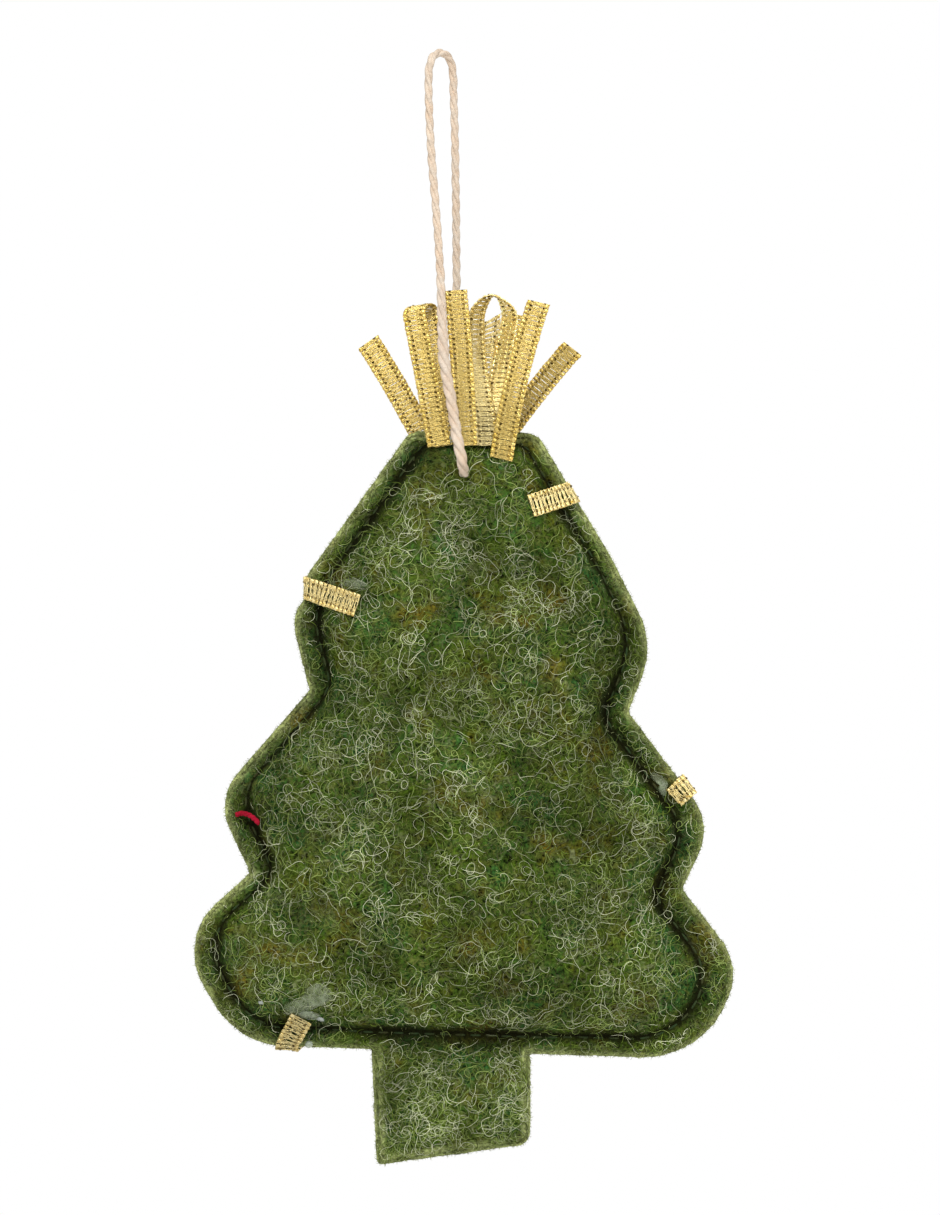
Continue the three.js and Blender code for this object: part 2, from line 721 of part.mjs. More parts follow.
// Stations of a garland's end, from its cut end on the front to the outside of the felt's edge
function garlandEnd({ point, outward, inward, reach }) {
  const inner = point.clone().addScaledVector(inward, reach);
  const onFront = tautRun(inner, point, coveredFront, -1, ribbonWidth, garlandEndSteps);
  const frontRim = onFront.at(-1).y;
  const rearRim = rearFace(point.x, point.y);
  const across = quarterTurn(inward);
  const stations = onFront.map((p) => ({ centre: p.setY(p.y - ribbonSeat), across }));
  const outside = point.clone().addScaledVector(outward, ribbonSeat);
  const edgeAcross = quarterTurn(outward);
  [frontRim, rearRim].forEach((y) => {
    stations.push({ centre: v3(outside.x, y, outside.y), across: edgeAcross });
  });
  return stations;
}

// A garland runs from its end on the front, round the edge, over the rear and round to its other end
function garland(startName, endName) {
  const start = placedEnd(garlandEnds[startName]);
  const end = placedEnd(garlandEnds[endName]);
  const onRear = tautRun(start.point, end.point, coveredRear, 1, ribbonWidth, garlandSteps);
  const rearAcross = quarterTurn(end.point.clone().sub(start.point).normalize());
  const middle = onRear.map((p) => ({ centre: p.setY(p.y + ribbonSeat), across: rearAcross }));
  const all = [...garlandEnd(start), ...middle, ...garlandEnd(end).toReversed()];
  let previous = quarterTurn(start.inward);
  const acrosses = all.map(({ across }) => {
    previous = across.dot(previous) < 0 ? across.clone().negate() : across;
    return v3(previous.x, 0, previous.y);
  });
  const last = all.length - 1;
  const points = all.map(({ centre }) => centre);
  return ribbonSolid(stationsAlong(points, (share) => acrosses[Math.round(share * last)].clone()));
}

// A dried dab of hot glue on the front, beside a garland end or beyond it, thickest at its middle
function glueDab({ end, along = 0, beside = 0, beyond = 0, width, height, rise }) {
  const { point, inward, reach } = placedEnd(garlandEnds[end]);
  const sideways = beside + (Math.sign(beside) * ribbonWidth) / 2;
  const middle = point.clone().addScaledVector(inward, beyond ? reach + beyond : along);
  const { x, y: z } = middle.addScaledVector(quarterTurn(inward), sideways);
  const rings = [0.55, 1];
  const segments = 12;
  const points = [v2(x, z)];
  const triangles = [];
  rings.forEach((share, ring) => {
    for (let k = 0; k < segments; k++) {
      const angle = (2 * Math.PI * k) / segments;
      const offset = v2(width * Math.cos(angle), height * Math.sin(angle)).multiplyScalar(share / 2);
      points.push(points[0].clone().add(offset));
      const a = 1 + ring * segments + k;
      const b = 1 + ring * segments + ((k + 1) % segments);
      if (ring === 0) triangles.push(0, a, b);
      else triangles.push(a - segments, a, b, a - segments, b, b - segments);
    }
  });
  const bed = (px, pz) => frontFace(px, pz) - seatGap;
  const radius = (px, pz) => Math.hypot((2 * (px - x)) / width, (2 * (pz - z)) / height);
  const top = (px, pz) => bed(px, pz) - glueRim - rise * (1 - radius(px, pz) ** 2);
  return sheetSolid({ points, triangles }, top, bed);
}

// Round section along a curve
function tube(curve, diameter, sides, steps) {
  const section = new THREE.Shape();
  for (let k = 0; k < sides; k++) {
    const angle = (2 * Math.PI * k) / sides;
    const corner = v2(Math.cos(angle), Math.sin(angle)).multiplyScalar(diameter / 2);
    if (k === 0) section.moveTo(corner.x, corner.y);
    else section.lineTo(corner.x, corner.y);
  }
  return new THREE.ExtrudeGeometry(section, { steps, extrudePath: curve });
}

function redStitch() {
  const { point } = edgeAt("left", stitchZ);
  const way = heading(stitchDegrees);
  const from = point.clone().addScaledVector(way, stitchInset);
  const to = point.clone().addScaledVector(way, stitchReach);
  const run = tautRun(from, to, coveredFront, -1, stitchDiameter, stitchSteps);
  const seated = run.map((p) => p.setY(p.y - seatGap - stitchDiameter / 2));
  return tube(new THREE.CatmullRomCurve3(seated), stitchDiameter, stitchSides, stitchSteps);
}

// The loop's free stretch, from the hole in the front to the hole in the rear, measured from the cord hole
const cordRoute = [
  v3(0, frontHole - seatGap, 0),
  v3(0, -5.8, 0.1),
  v3(-0.1, -6.8, 0.8),
  v3(-0.25, -7.4, 2.1),
  v3(-0.5, -7.6, 4),
  v3(-1, -7.3, 7),
  v3(-1.6, -6.9, 11),
  v3(-2.4, -6.5, 15.5),
  v3(-2.9, -6.1, 21),
  v3(-3.2, -5.6, 27),
  v3(-3.6, -4.7, 33),
  v3(-4.1, -3.7, 39),
  v3(-4.6, -2.8, 45),
  v3(-4.9, -2.1, 50),
  v3(-5.05, -1.9, 55),
  v3(-4.55, -1.35, 58.6),
  v3(-3.3, 0, 60.2),
  v3(-2.05, 1.35, 58.6),
  v3(-1.5, 1.95, 55),
  v3(-1.35, 2.3, 50),
  v3(-1.25, 2.8, 45),
  v3(-1.15, 3.6, 38.5),
  v3(-1.1, 4.4, 32),
  v3(-1.05, 5.1, 26),
  v3(-0.9, 5.7, 20.5),
  v3(-0.7, 6.2, 15),
  v3(-0.5, 6.6, 10.5),
  v3(-0.35, 7, 7),
  v3(-0.2, 7.3, 4),
  v3(-0.1, 7.2, 2.1),
  v3(-0.05, 6.7, 0.8),
  v3(0, 5.8, 0.1),
  v3(0, rearHole + seatGap, 0),
];
const cordCurve = new THREE.CatmullRomCurve3(cordRoute, false, "centripetal");
const hangingCord = tube(cordCurve, cordDiameter, cordSides, cordSteps);
const loopTop = cordRoute.reduce((highest, p) => (p.z > highest.z ? p : highest));

// Assembly. The cord hole is the pivot that the loop and the tree share.
const ornament = new THREE.Group();
const hangingLoop = new THREE.Group();
const tree = new THREE.Group();
[hangingLoop, tree].forEach((group) => {
  group.position.set(-loopTop.x, 0, cordDiameter / 2 - loopTop.z);
  ornament.add(group);
});

function addPiece(group, name, geometry, material) {
  const piece = new THREE.Mesh(geometry, material);
  piece.name = name;
  group.add(piece);
}

addPiece(hangingLoop, "hanging_cord", hangingCord, cottonCord);
addPiece(hangingLoop, "cord_knot", cordKnot, cottonCord);
addPiece(tree, "front_felt_panel", frontPanel, greenFelt);
addPiece(tree, "rear_felt_panel", rearPanel, greenFelt);
addPiece(tree, "stuffing", stuffing, fibreFill);
addPiece(tree, "needle_thread", threadRing(frontFace, -1), greenThread);
addPiece(tree, "bobbin_thread", threadRing(rearFace, 1), greenThread);
Object.entries(tuftStrips).forEach(([name, strip]) => addPiece(tree, name, tuftStrip(strip), goldRibbon));
addPiece(tree, "tuft_loop_left", leftLoop(), goldRibbon);
addPiece(tree, "tuft_loop_right", rightLoop(), goldRibbon);
addPiece(tree, "tuft_glue_front", frontGlue, hotGlue);
addPiece(tree, "tuft_glue_rear", rearGlue, hotGlue);
addPiece(tree, "garland_upper", garland("upperLeft", "upperRight"), goldRibbon);
addPiece(tree, "garland_lower", garland("lowerLeft", "lowerRight"), goldRibbon);
Object.entries(glueDabs).forEach(([name, dab]) => addPiece(tree, name, glueDab(dab), hotGlue));
addPiece(tree, "red_stitch", redStitch(), redThread);

export default ornament;
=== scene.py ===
import json
import math
import bpy
import numpy as np
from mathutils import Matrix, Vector
from mathutils.geometry import delaunay_2d_cdt


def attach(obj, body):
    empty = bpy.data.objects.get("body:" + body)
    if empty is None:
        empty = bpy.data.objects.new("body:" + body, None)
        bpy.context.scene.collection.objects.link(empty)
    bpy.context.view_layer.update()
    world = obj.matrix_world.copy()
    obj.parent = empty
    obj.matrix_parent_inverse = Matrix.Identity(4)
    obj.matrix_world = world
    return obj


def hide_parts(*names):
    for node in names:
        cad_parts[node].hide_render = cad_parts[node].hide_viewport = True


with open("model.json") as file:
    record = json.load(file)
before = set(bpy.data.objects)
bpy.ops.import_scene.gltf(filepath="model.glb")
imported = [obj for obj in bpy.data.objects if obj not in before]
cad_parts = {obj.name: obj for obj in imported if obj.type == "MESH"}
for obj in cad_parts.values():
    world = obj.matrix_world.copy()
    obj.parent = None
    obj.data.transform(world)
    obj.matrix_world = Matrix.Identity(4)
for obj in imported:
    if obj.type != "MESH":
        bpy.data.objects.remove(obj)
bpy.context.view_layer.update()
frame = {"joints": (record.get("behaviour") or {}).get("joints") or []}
scene = bpy.context.scene
scene.view_settings.view_transform = "Standard"
holeAt = np.array(frame["joints"][0]["pos_m"]) * 1000  # the cord hole, in mm
seeds = {
    "walls": 5,
    "lumps": 11,
    "fibres": 21,
    "nap": 51,
    "cord": 3,
    "knot": 4,
    "strips": 3,
    "leftLoop": 12,
    "rightLoop": 13,
    "garlands": 31,
    "redStitch": 8,
    "glue": 70,
}


# Shapes below are drawn in mm from the cord hole: x right, y to the rear, z up
def toFrame(points):
    return (np.asarray(points, float) + holeAt) / 1000


def linkObject(name, data):
    thing = bpy.data.objects.new(name, data)
    scene.collection.objects.link(thing)
    return thing


def makePiece(name, points, faces, material, smooth=True, edges=()):
    mesh = bpy.data.meshes.new(name)
    mesh.from_pydata(toFrame(points).tolist(), list(edges), [list(map(int, f)) for f in faces])
    mesh.update()
    mesh.polygons.foreach_set("use_smooth", [smooth] * len(mesh.polygons))
    if material:
        mesh.materials.append(material)
    return linkObject(name, mesh)


def setAttribute(piece, name, values):
    layer = piece.data.attributes.new(name, "FLOAT", "POINT")
    layer.data.foreach_set("value", np.asarray(values, np.float32))


def settle(piece, body, slot, *nodes):
    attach(piece, body)
    if nodes:
        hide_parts(*nodes)
    return piece


def smoothstep(low, high, value):
    t = np.clip((np.asarray(value, float) - low) / (high - low), 0, 1)
    return t * t * (3 - 2 * t)


def unit(vectors):
    vectors = np.asarray(vectors, float)
    return vectors / np.maximum(np.linalg.norm(vectors, axis=-1, keepdims=True), 1e-9)


# Points of the flat layout, set at the depths y
def setAt(flat, y):
    return np.stack([flat[:, 0], y, flat[:, 1]], 1)


def runAlong(line):
    return np.concatenate([[0], np.cumsum(np.linalg.norm(np.diff(line, axis=0), axis=1))])


# Quads between rings of points
def ringFaces(rings, sides, start=0, flip=False):
    faces = []
    for ring in range(rings - 1):
        for k in range(sides):
            a, b = (start + ring * sides + i for i in (k, (k + 1) % sides))
            faces.append((a, a + sides, b + sides, b) if flip else (a, b, b + sides, a + sides))
    return faces


def tubeFaces(rings, sides):
    caps = [tuple(range(sides))[::-1], tuple(range((rings - 1) * sides, rings * sides))]
    return ringFaces(rings, sides) + caps


def joinParts(parts):
    points, faces = [], []
    for partPoints, partFaces in parts:
        start = sum(len(p) for p in points)
        faces += [tuple(i + start for i in f) for f in partFaces]
        points.append(partPoints)
    return np.concatenate(points), faces


# Node trees
def socketOf(sockets, key):
    if isinstance(key, int):
        return sockets[key]
    return next(s for s in sockets if s.enabled and key in (s.name, None))


# Short ways to add nodes to a tree
class Net:
    def __init__(self, tree):
        self.tree = tree

    def feed(self, target, value):
        if isinstance(value, bpy.types.NodeSocket):
            self.tree.links.new(value, target)
        else:
            target.default_value = value

    def node(self, kind, feeds=None, **settings):
        node = self.tree.nodes.new(kind)
        for name, value in settings.items():
            setattr(node, name, value)
        for key, value in (feeds or {}).items():
            self.feed(socketOf(node.inputs, key), value)
        return node

    def put(self, kind, feeds=None, out=None, **settings):
        return socketOf(self.node(kind, feeds, **settings).outputs, out)

    def calc(self, operation, *values):
        return self.put("ShaderNodeMath", dict(enumerate(values)), operation=operation)

    def times(self, *values):
        return self.calc("MULTIPLY", *values)

    def plus(self, *values):
        return self.calc("ADD", *values)

    def minus(self, *values):
        return self.calc("SUBTRACT", *values)

    def vector(self, operation, *values):
        return self.put("ShaderNodeVectorMath", dict(enumerate(values)), operation=operation)

    def scaled(self, vector, scale):
        return self.put("ShaderNodeVectorMath", {0: vector, "Scale": scale}, operation="SCALE")

    def combine(self, **parts):
        return self.put("ShaderNodeCombineXYZ", parts)

    def separate(self, vector):
        return self.node("ShaderNodeSeparateXYZ", {0: vector}).outputs

    def remap(self, value, source=(0.0, 1.0), target=(0.0, 1.0), **settings):
        labels = ("Value", "From Min", "From Max", "To Min", "To Max")
        feeds = dict(zip(labels, (value, *source, *target)))
        return self.put("ShaderNodeMapRange", feeds, **settings)

    def noise(self, vector, scale, detail=2.0, **extra):
        feeds = {"Vector": vector, "Scale": scale, "Detail": detail, **extra}
        return self.put("ShaderNodeTexNoise", feeds, out=0)

    def noiseAt(self, x, y, z):
        return self.noise(self.combine(X=x, Y=y, Z=z), 1.0, 1.0)

    # for finishes
    def coords(self):
        return self.put("ShaderNodeTexCoord", out="Object")

    def painted(self, name):
        return self.put("ShaderNodeAttribute", attribute_name=name, out="Fac")

    def mix(self, factor, a, b):
        return self.put("ShaderNodeMix", {"Factor": factor, "A": a, "B": b}, data_type="RGBA")

    def group(self, tree, **feeds):
        node = self.node("ShaderNodeGroup", node_tree=tree)
        for key, value in feeds.items():
            self.feed(node.inputs[key], value)
        return node.outputs[0]

    # for growths
    def position(self):
        return self.put("GeometryNodeInputPosition")

    def named(self, name, kind="FLOAT"):
        return self.put("GeometryNodeInputNamedAttribute", {"Name": name}, out="Attribute", data_type=kind)

    def stored(self, geometry, name, value, kind="FLOAT"):
        feeds = {"Geometry": geometry, "Name": name, "Value": value}
        return self.put("GeometryNodeStoreNamedAttribute", feeds, data_type=kind, domain="POINT")

    def random(self, low, high, seed, identity=None, kind="FLOAT"):
        feeds = {"Min": low, "Max": high, "Seed": seed}
        if identity is not None:
            feeds["ID"] = identity
        return self.put("FunctionNodeRandomValue", feeds, out="Value", data_type=kind)

    def running(self, value, group, kind="FLOAT"):
        feeds = {"Value": value, "Group ID": group}
        return self.put("GeometryNodeAccumulateField", feeds, out="Leading", data_type=kind)

    def scatter(self, given, density):
        feeds = {"Mesh": given["Geometry"], "Density": density, "Seed": given["Seed"]}
        return self.node("GeometryNodeDistributePointsOnFaces", feeds).outputs

    def line(self, count, **ends):
        curve = self.put("GeometryNodeCurvePrimitiveLine", ends)
        return self.put("GeometryNodeResampleCurve", {"Curve": curve, "Count": count})

    def moved(self, geometry, **feeds):
        return self.put("GeometryNodeSetPosition", {"Geometry": geometry, **feeds})

    def instances(self, points, instance, **feeds):
        feeds = {"Points": points, "Instance": instance, **feeds}
        made = self.put("GeometryNodeInstanceOnPoints", feeds)
        return self.put("GeometryNodeRealizeInstances", {"Geometry": made})

    def delete(self, geometry, selection, domain):
        feeds = {"Geometry": geometry, "Selection": selection}
        return self.put("GeometryNodeDeleteGeometry", feeds, domain=domain)

    def sweep(self, curve, radius, sides, scale):
        profile = self.put("GeometryNodeCurvePrimitiveCircle", {"Resolution": sides, "Radius": radius})
        feeds = {"Curve": curve, "Profile Curve": profile, "Scale": scale, "Fill Caps": True}
        return self.put("GeometryNodeCurveToMesh", feeds)

    def factor(self):
        return self.put("GeometryNodeSplineParameter", out="Factor")

    def toEnd(self):
        factor = self.factor()
        return self.calc("MINIMUM", factor, self.minus(1.0, factor))


# A socket without a value is of the kind that its label names
def newTree(kind, name, inputs, outputs):
    tree = bpy.data.node_groups.new(name, kind)
    for label, value in inputs.items():
        socketType = {int: "Int", float: "Float", tuple: "Color"}.get(type(value), label)
        socket = tree.interface.new_socket(label, in_out="INPUT", socket_type="NodeSocket" + socketType)
        if value is not None:
            socket.default_value = value
    for label, socketType in outputs.items():
        tree.interface.new_socket(label, in_out="OUTPUT", socket_type="NodeSocket" + socketType)
    given = tree.nodes.new("NodeGroupInput").outputs
    result = tree.nodes.new("NodeGroupOutput").inputs
    return Net(tree), given, result


def growthTree(name, inputs):
    inputs = {"Geometry": None, **inputs, "Material": None}
    return newTree("GeometryNodeTree", name, inputs, {"Geometry": "Geometry"})


def closeGrowth(net, given, result, geometry):
    whole = net.put("GeometryNodeRealizeInstances", {"Geometry": geometry})
    feeds = {"Geometry": whole, "Material": given["Material"]}
    net.feed(result["Geometry"], net.put("GeometryNodeSetMaterial", feeds))
    return net.tree


# Grows a tree's geometry over a host mesh and leaves a plain mesh
def grow(host, tree, values):
    modifier = host.modifiers.new("grow", "NODES")
    modifier.node_group = tree
    for item in tree.interface.items_tree:
        if item.item_type == "SOCKET" and item.in_out == "INPUT" and item.name in values:
            modifier[item.identifier] = values[item.name]
    bpy.context.view_layer.update()
    grown = host.evaluated_get(bpy.context.evaluated_depsgraph_get())
    mesh = bpy.data.meshes.new_from_object(grown)
    mesh.name = host.name
    host.modifiers.remove(modifier)
    host.data = mesh
    return host


def newFinish(name, roughness, **sockets):
    finish = bpy.data.materials.new(name)
    finish.use_nodes = True
    shader = finish.node_tree.nodes["Principled BSDF"].inputs
    shader["Roughness"].default_value = roughness
    for label, value in sockets.items():
        shader[label].default_value = value
    return finish, Net(finish.node_tree), shader


def addBump(net, shader, height, distance, strength):
    feeds = {"Height": height, "Distance": distance, "Strength": strength}
    net.feed(shader["Normal"], net.put("ShaderNodeBump", feeds))


# Camera and stage
view = {"centre": (4.16, -78.67), "height": 173.6, "distance": 1000, "sensor": 36}  # mm, shared frame
camera = linkObject("photoCamera", bpy.data.cameras.new("photoCamera"))
camera.data.sensor_fit = "VERTICAL"
camera.data.sensor_height = view["sensor"]
camera.data.lens = view["sensor"] * view["distance"] / view["height"]
camera.data.clip_end = 20
camera.location = Vector((view["centre"][0], -view["distance"], view["centre"][1])) / 1000
camera.rotation_euler = (math.radians(90), 0, 0)
scene.camera = camera

lamps = {
    "keyLamp": {"at": (-0.17, -0.66, 0.6), "size": 0.5, "power": 5.6},
    "fillLamp": {"at": (0.5, -0.68, 0.0), "size": 0.6, "power": 2.0},
    "rearLamp": {"at": (0.2, 0.8, 0.4), "size": 0.6, "power": 3.0},
}
worldLight = 0.5
world = bpy.data.worlds.new("whiteRoom")
scene.world = world
world.use_nodes = True
sky = Net(world.node_tree)
sky.tree.nodes.clear()
path = sky.node("ShaderNodeLightPath").outputs
seen = sky.calc("MAXIMUM", path["Is Camera Ray"], path["Is Transmission Ray"])
seen = sky.calc("MAXIMUM", seen, path["Is Glossy Ray"])
strength = sky.remap(seen, target=(worldLight, 1.0))
whole = sky.put("ShaderNodeBackground", {"Color": (1, 1, 1, 1), "Strength": strength})
sky.node("ShaderNodeOutputWorld", {"Surface": whole})

aim = Vector((0, 0, -0.09))
for lampName, facts in lamps.items():
    lampData = bpy.data.lights.new(lampName, "AREA")
    lampData.shape = "DISK"
    lampData.size = facts["size"]
    lampData.energy = facts["power"]
    lamp = linkObject(lampName, lampData)
    lamp.location = facts["at"]
    lamp.rotation_euler = (aim - lamp.location).to_track_quat("-Z", "Y").to_euler()

floor = {"drop": 205, "radius": 300, "sides": 96, "scale": 8.0, "tones": (0.86, 0.9)}
angles = np.linspace(0, 2 * np.pi, floor["sides"], endpoint=False)
ring = [(math.cos(a), math.sin(a)) for a in angles]
floorPoints = [(floor["radius"] * c, floor["radius"] * s, -floor["drop"]) for c, s in ring]
paleFloor, net, shader = newFinish("paleFloor", 0.9)
net.feed(shader["Base Color"], net.remap(net.noise(net.coords(), floor["scale"]), target=floor["tones"]))
makePiece("paleFloor", np.array(floorPoints) - holeAt, [range(floor["sides"])], paleFloor, False)
print("stage: camera, lamps and floor")


# Effects that several finishes share
def buildTangle():
    inputs = {"Vector": None, "Scale": 500.0, "Width": 0.03, "Shift": 0.0}
    net, given, result = newTree("ShaderNodeTree", "fibreTangle", inputs, {"Mask": "Float"})
    mask = None
    for layer, (size, level) in enumerate(((1.0, 0.5), (1.45, 0.45), (0.72, 0.56))):
        offset = net.combine(X=given["Shift"], Y=layer * 3.7, Z=layer * 1.9)
        place = net.vector("ADD", given["Vector"], offset)
        scale = net.times(given["Scale"], size)
        away = net.calc("ABSOLUTE", net.minus(net.noise(place, scale, 1.2, Distortion=0.7), level))
        line = net.remap(away, (0.0, given["Width"]), (1.0, 0.0), interpolation_type="SMOOTHSTEP")
        gaps = net.noise(place, net.times(scale, 0.35), 1.0)
        line = net.times(line, net.remap(gaps, (0.42, 0.62)))
        mask = line if mask is None else net.calc("MAXIMUM", mask, line)
    net.feed(result["Mask"], mask)
    return net.tree


def buildDrift():
    white = (1, 1, 1, 1)
    inputs = {"Vector": None, "Scale": 100.0, "Main": white, "Cool": white, "Warm": white}
    net, given, result = newTree("ShaderNodeTree", "toneDrift", inputs, {"Color": "Color"})
    first = net.noise(given["Vector"], given["Scale"], 3.0, Roughness=0.6)
    aside = net.vector("ADD", given["Vector"], (0.31, 0.17, 0.53))
    second = net.noise(aside, given["Scale"], 3.0, Roughness=0.6)
    tone = net.mix(net.remap(first, (0.42, 0.66)), given["Main"], given["Cool"])
    net.feed(result["Color"], net.mix(net.remap(second, (0.5, 0.72)), tone, given["Warm"]))
    return net.tree


def buildMottle():
    inputs = {"Vector": None, "Scale": 100.0, "Dark": 0.7, "Light": 1.3}
    net, given, result = newTree("ShaderNodeTree", "broadMottle", inputs, {"Level": "Float"})
    field = net.noise(given["Vector"], given["Scale"], 2.5, Roughness=0.55)
    net.feed(result["Level"], net.remap(field, (0.34, 0.66), (given["Dark"], given["Light"])))
    return net.tree


fibreTangle = buildTangle()
toneDrift = buildDrift()
broadMottle = buildMottle()

# Felt finish: drifting greens, a tangle of paler fibres, painted shade in the seam ditch and painted light
# on the cut edge
feltLook = {
    "drift": {
        "Scale": 150.0,
        "Main": (0.045, 0.076, 0.007, 1),
        "Cool": (0.024, 0.078, 0.018, 1),
        "Warm": (0.1, 0.072, 0.008, 1),
    },
    "mid": (0.17, 0.2, 0.045, 1),
    "pale": (0.32, 0.36, 0.16, 1),
    # painted light: the pale colour that lights the cut edge and its walls
    "edge": (0.5, 0.56, 0.21),
    # painted shade: the near-black colour laid into the seam ditch
    "ditchShade": (0.009, 0.009, 0.003, 1),
    "mottle": {"Scale": 105.0, "Dark": 0.68, "Light": 1.3},
    "grainSpan": (0.34, 0.66),
}


def buildFelt():
    finish, net, shader = newFinish("greenFelt", 1.0, **{"Specular IOR Level": 0.03})
    coords = net.coords()
    tone = net.group(toneDrift, Vector=coords, **feltLook["drift"])
    grain = net.noise(coords, 1900.0, 3.0, Roughness=0.6)
    tone = net.vector("MULTIPLY", tone, net.remap(grain, feltLook["grainSpan"], (0.06, 1.85)))
    coarse = net.group(fibreTangle, Vector=coords, Scale=480.0, Width=0.025, Shift=0.0)
    close = net.group(fibreTangle, Vector=coords, Scale=950.0, Width=0.05, Shift=5.0)
    tone = net.mix(net.times(close, 0.7), tone, feltLook["mid"])
    tone = net.mix(net.times(coarse, 0.6), tone, feltLook["pale"])
    tone = net.vector("MULTIPLY", tone, net.group(broadMottle, Vector=coords, **feltLook["mottle"]))
    # painted light on the cut edge and its walls, broken into patches and grain
    patchyEdgeLight = net.remap(net.noise(coords, 300.0), (0.35, 0.65), (0.3, 1.0))
    soft = net.remap(grain, feltLook["grainSpan"], (0.5, 1.4))
    edgeTone = net.vector("MULTIPLY", feltLook["edge"], soft)
    tone = net.mix(net.times(net.painted("cutEdgeLight"), patchyEdgeLight), tone, edgeTone)
    # painted shade: the seam ditch and the margin beside it darkened towards near black
    tone = net.mix(net.times(net.painted("ditchShade"), 0.97), tone, feltLook["ditchShade"])
    net.feed(shader["Base Color"], tone)
    height = net.plus(net.times(close, 0.5), net.plus(grain, coarse))
    addBump(net, shader, height, 0.0004, 1.0)
    return finish


greenFelt = buildFelt()


def buildFibreFinish(name, dark, bright):
    finish, net, shader = newFinish(name, 0.9, **{"Specular IOR Level": 0.06})
    coords = net.coords()
    lit = net.times(net.calc("POWER", net.painted("tone"), 1.5), 0.9)
    mixed = net.calc("MULTIPLY_ADD", net.noise(coords, 900.0), 0.4, lit)
    level = net.group(broadMottle, Vector=coords, **feltLook["mottle"])
    net.feed(shader["Base Color"], net.vector("MULTIPLY", net.mix(mixed, dark, bright), level))
    return finish


# Outline of the felt, as corners in mm: x, z, radius of the cut edge, radius of the seam, seam margin below
felt = {
    "left": [
        (-7.6, 6, 2.6, 2, 2.7),
        (-25.1, -18.4, 12, 12, 3.3),
        (-21.9, -30.9, 0.8, 3.5, 2.1),
        (-35.3, -46.3, 7.4, 6.5, 3.3),
        (-30.4, -57, 0.8, 3.5, 2.3),
        (-40.9, -66.4, 9.3, 7.5, 3.2),
        (-32.2, -81.4, 12, 9, 2.8),
    ],
    "right": [
        (10.4, 5.7, 2.8, 3, 2.4),
        (20.9, -11.9, 30, 30, 2.4),
        (27.1, -24.3, 11.3, 11, 3.2),
        (23.3, -34, 1, 4, 3.5),
        (35.3, -50, 7.5, 6.5, 3.3),
        (31, -59.3, 1, 4, 4.1),
        (39.5, -70.4, 8, 7, 4.2),
        (33.7, -83.4, 12.5, 10, 0),
    ],
    "topMargin": 1.3,
    "pulls": [(-23, -17.7, 1.0, 1.9)],  # where a ribbon draws the edge in: x, z, depth, reach
    "trunkFoot": [(-12.3, -98.5, 0.5), (9.3, -95.6, 2)],
    "trunkSides": (-13, 9.3),
    "trunkRound": 0.4,
    "trunkTop": (-80.5, -83.5),  # the heights over which the body becomes the trunk
    "lowBand": (-74, -78),  # the heights below which the margin lies flat beside the trunk
    "besideTrunk": (6, 9),  # how far that reaches, left and right
    "thickness": 1.5,
    "gap": 0.3,
    "crown": 9.0,
    "curl": 0.85,
    "trunkCurl": 0.3,
    "trunkReach": 1.8,
    "pinch": 1.2,
    "power": 0.42,
    "softness": 0.012,
    "lump": 0.16,
    "wallRings": (0.2, 0.5, 0.8),
    "wallBulge": 0.32,
    "wallWobble": 0.04,
    "edgeRound": 0.7,
    "dimple": (0.6, 1.3),  # depth and radius where the cord enters
    "closeUp": 0.8,  # share of the gap that is gone at the cut edge
    "openFrom": (3.5, 5, 2.5),  # coarse points: within the seam, or beyond it and this far from the edge
    "clearOf": (0.3, 0.5),  # seam and edge
    "lip": (0.27, 0.24),  # a row of points just inside the cut edge, and its least gap
    "edgeStep": 0.5,
    "finePitch": 0.55,
    "openPitch": 0.95,
    "filmPitch": 0.6,
    "filmPasses": 700,
    "filmPull": 1.9,
}
faceDepth = felt["gap"] / 2 + felt["thickness"]  # from the sewn joint to a panel's outer face


def roundedLoop(corners, step):
    loop = []
    count = len(corners)
    for i, (x, z, radius) in enumerate(corners):
        corner = np.array((x, z))
        toBefore = unit(np.array(corners[i - 1][:2]) - corner)
        toAfter = unit(np.array(corners[(i + 1) % count][:2]) - corner)
        half = math.acos(np.clip(toBefore @ toAfter, -1, 1)) / 2
        centre = corner + unit(toBefore + toAfter) * radius / math.sin(half)
        start = corner + toBefore * radius / math.tan(half) - centre
        end = corner + toAfter * radius / math.tan(half) - centre
        turn = math.atan2(start[0] * end[1] - start[1] * end[0], start @ end)
        steps = max(2, math.ceil(abs(turn) * radius / step))
        for k in range(steps + 1):
            c, s = math.cos(turn * k / steps), math.sin(turn * k / steps)
            loop.append(centre + (start[0] * c - start[1] * s, start[0] * s + start[1] * c))
    loop = np.array(loop)
    points = []
    for a, b in zip(loop, np.roll(loop, -1, 0)):
        parts = max(1, round(np.linalg.norm(b - a) / step))
        points.extend(a + (b - a) * k / parts for k in range(parts))
    return np.array(points)


# The way out across a loop at each of its points
def outwardOf(loop):
    along = unit(np.roll(loop, -1, 0) - np.roll(loop, 1, 0))
    return np.stack([along[:, 1], -along[:, 0]], 1)


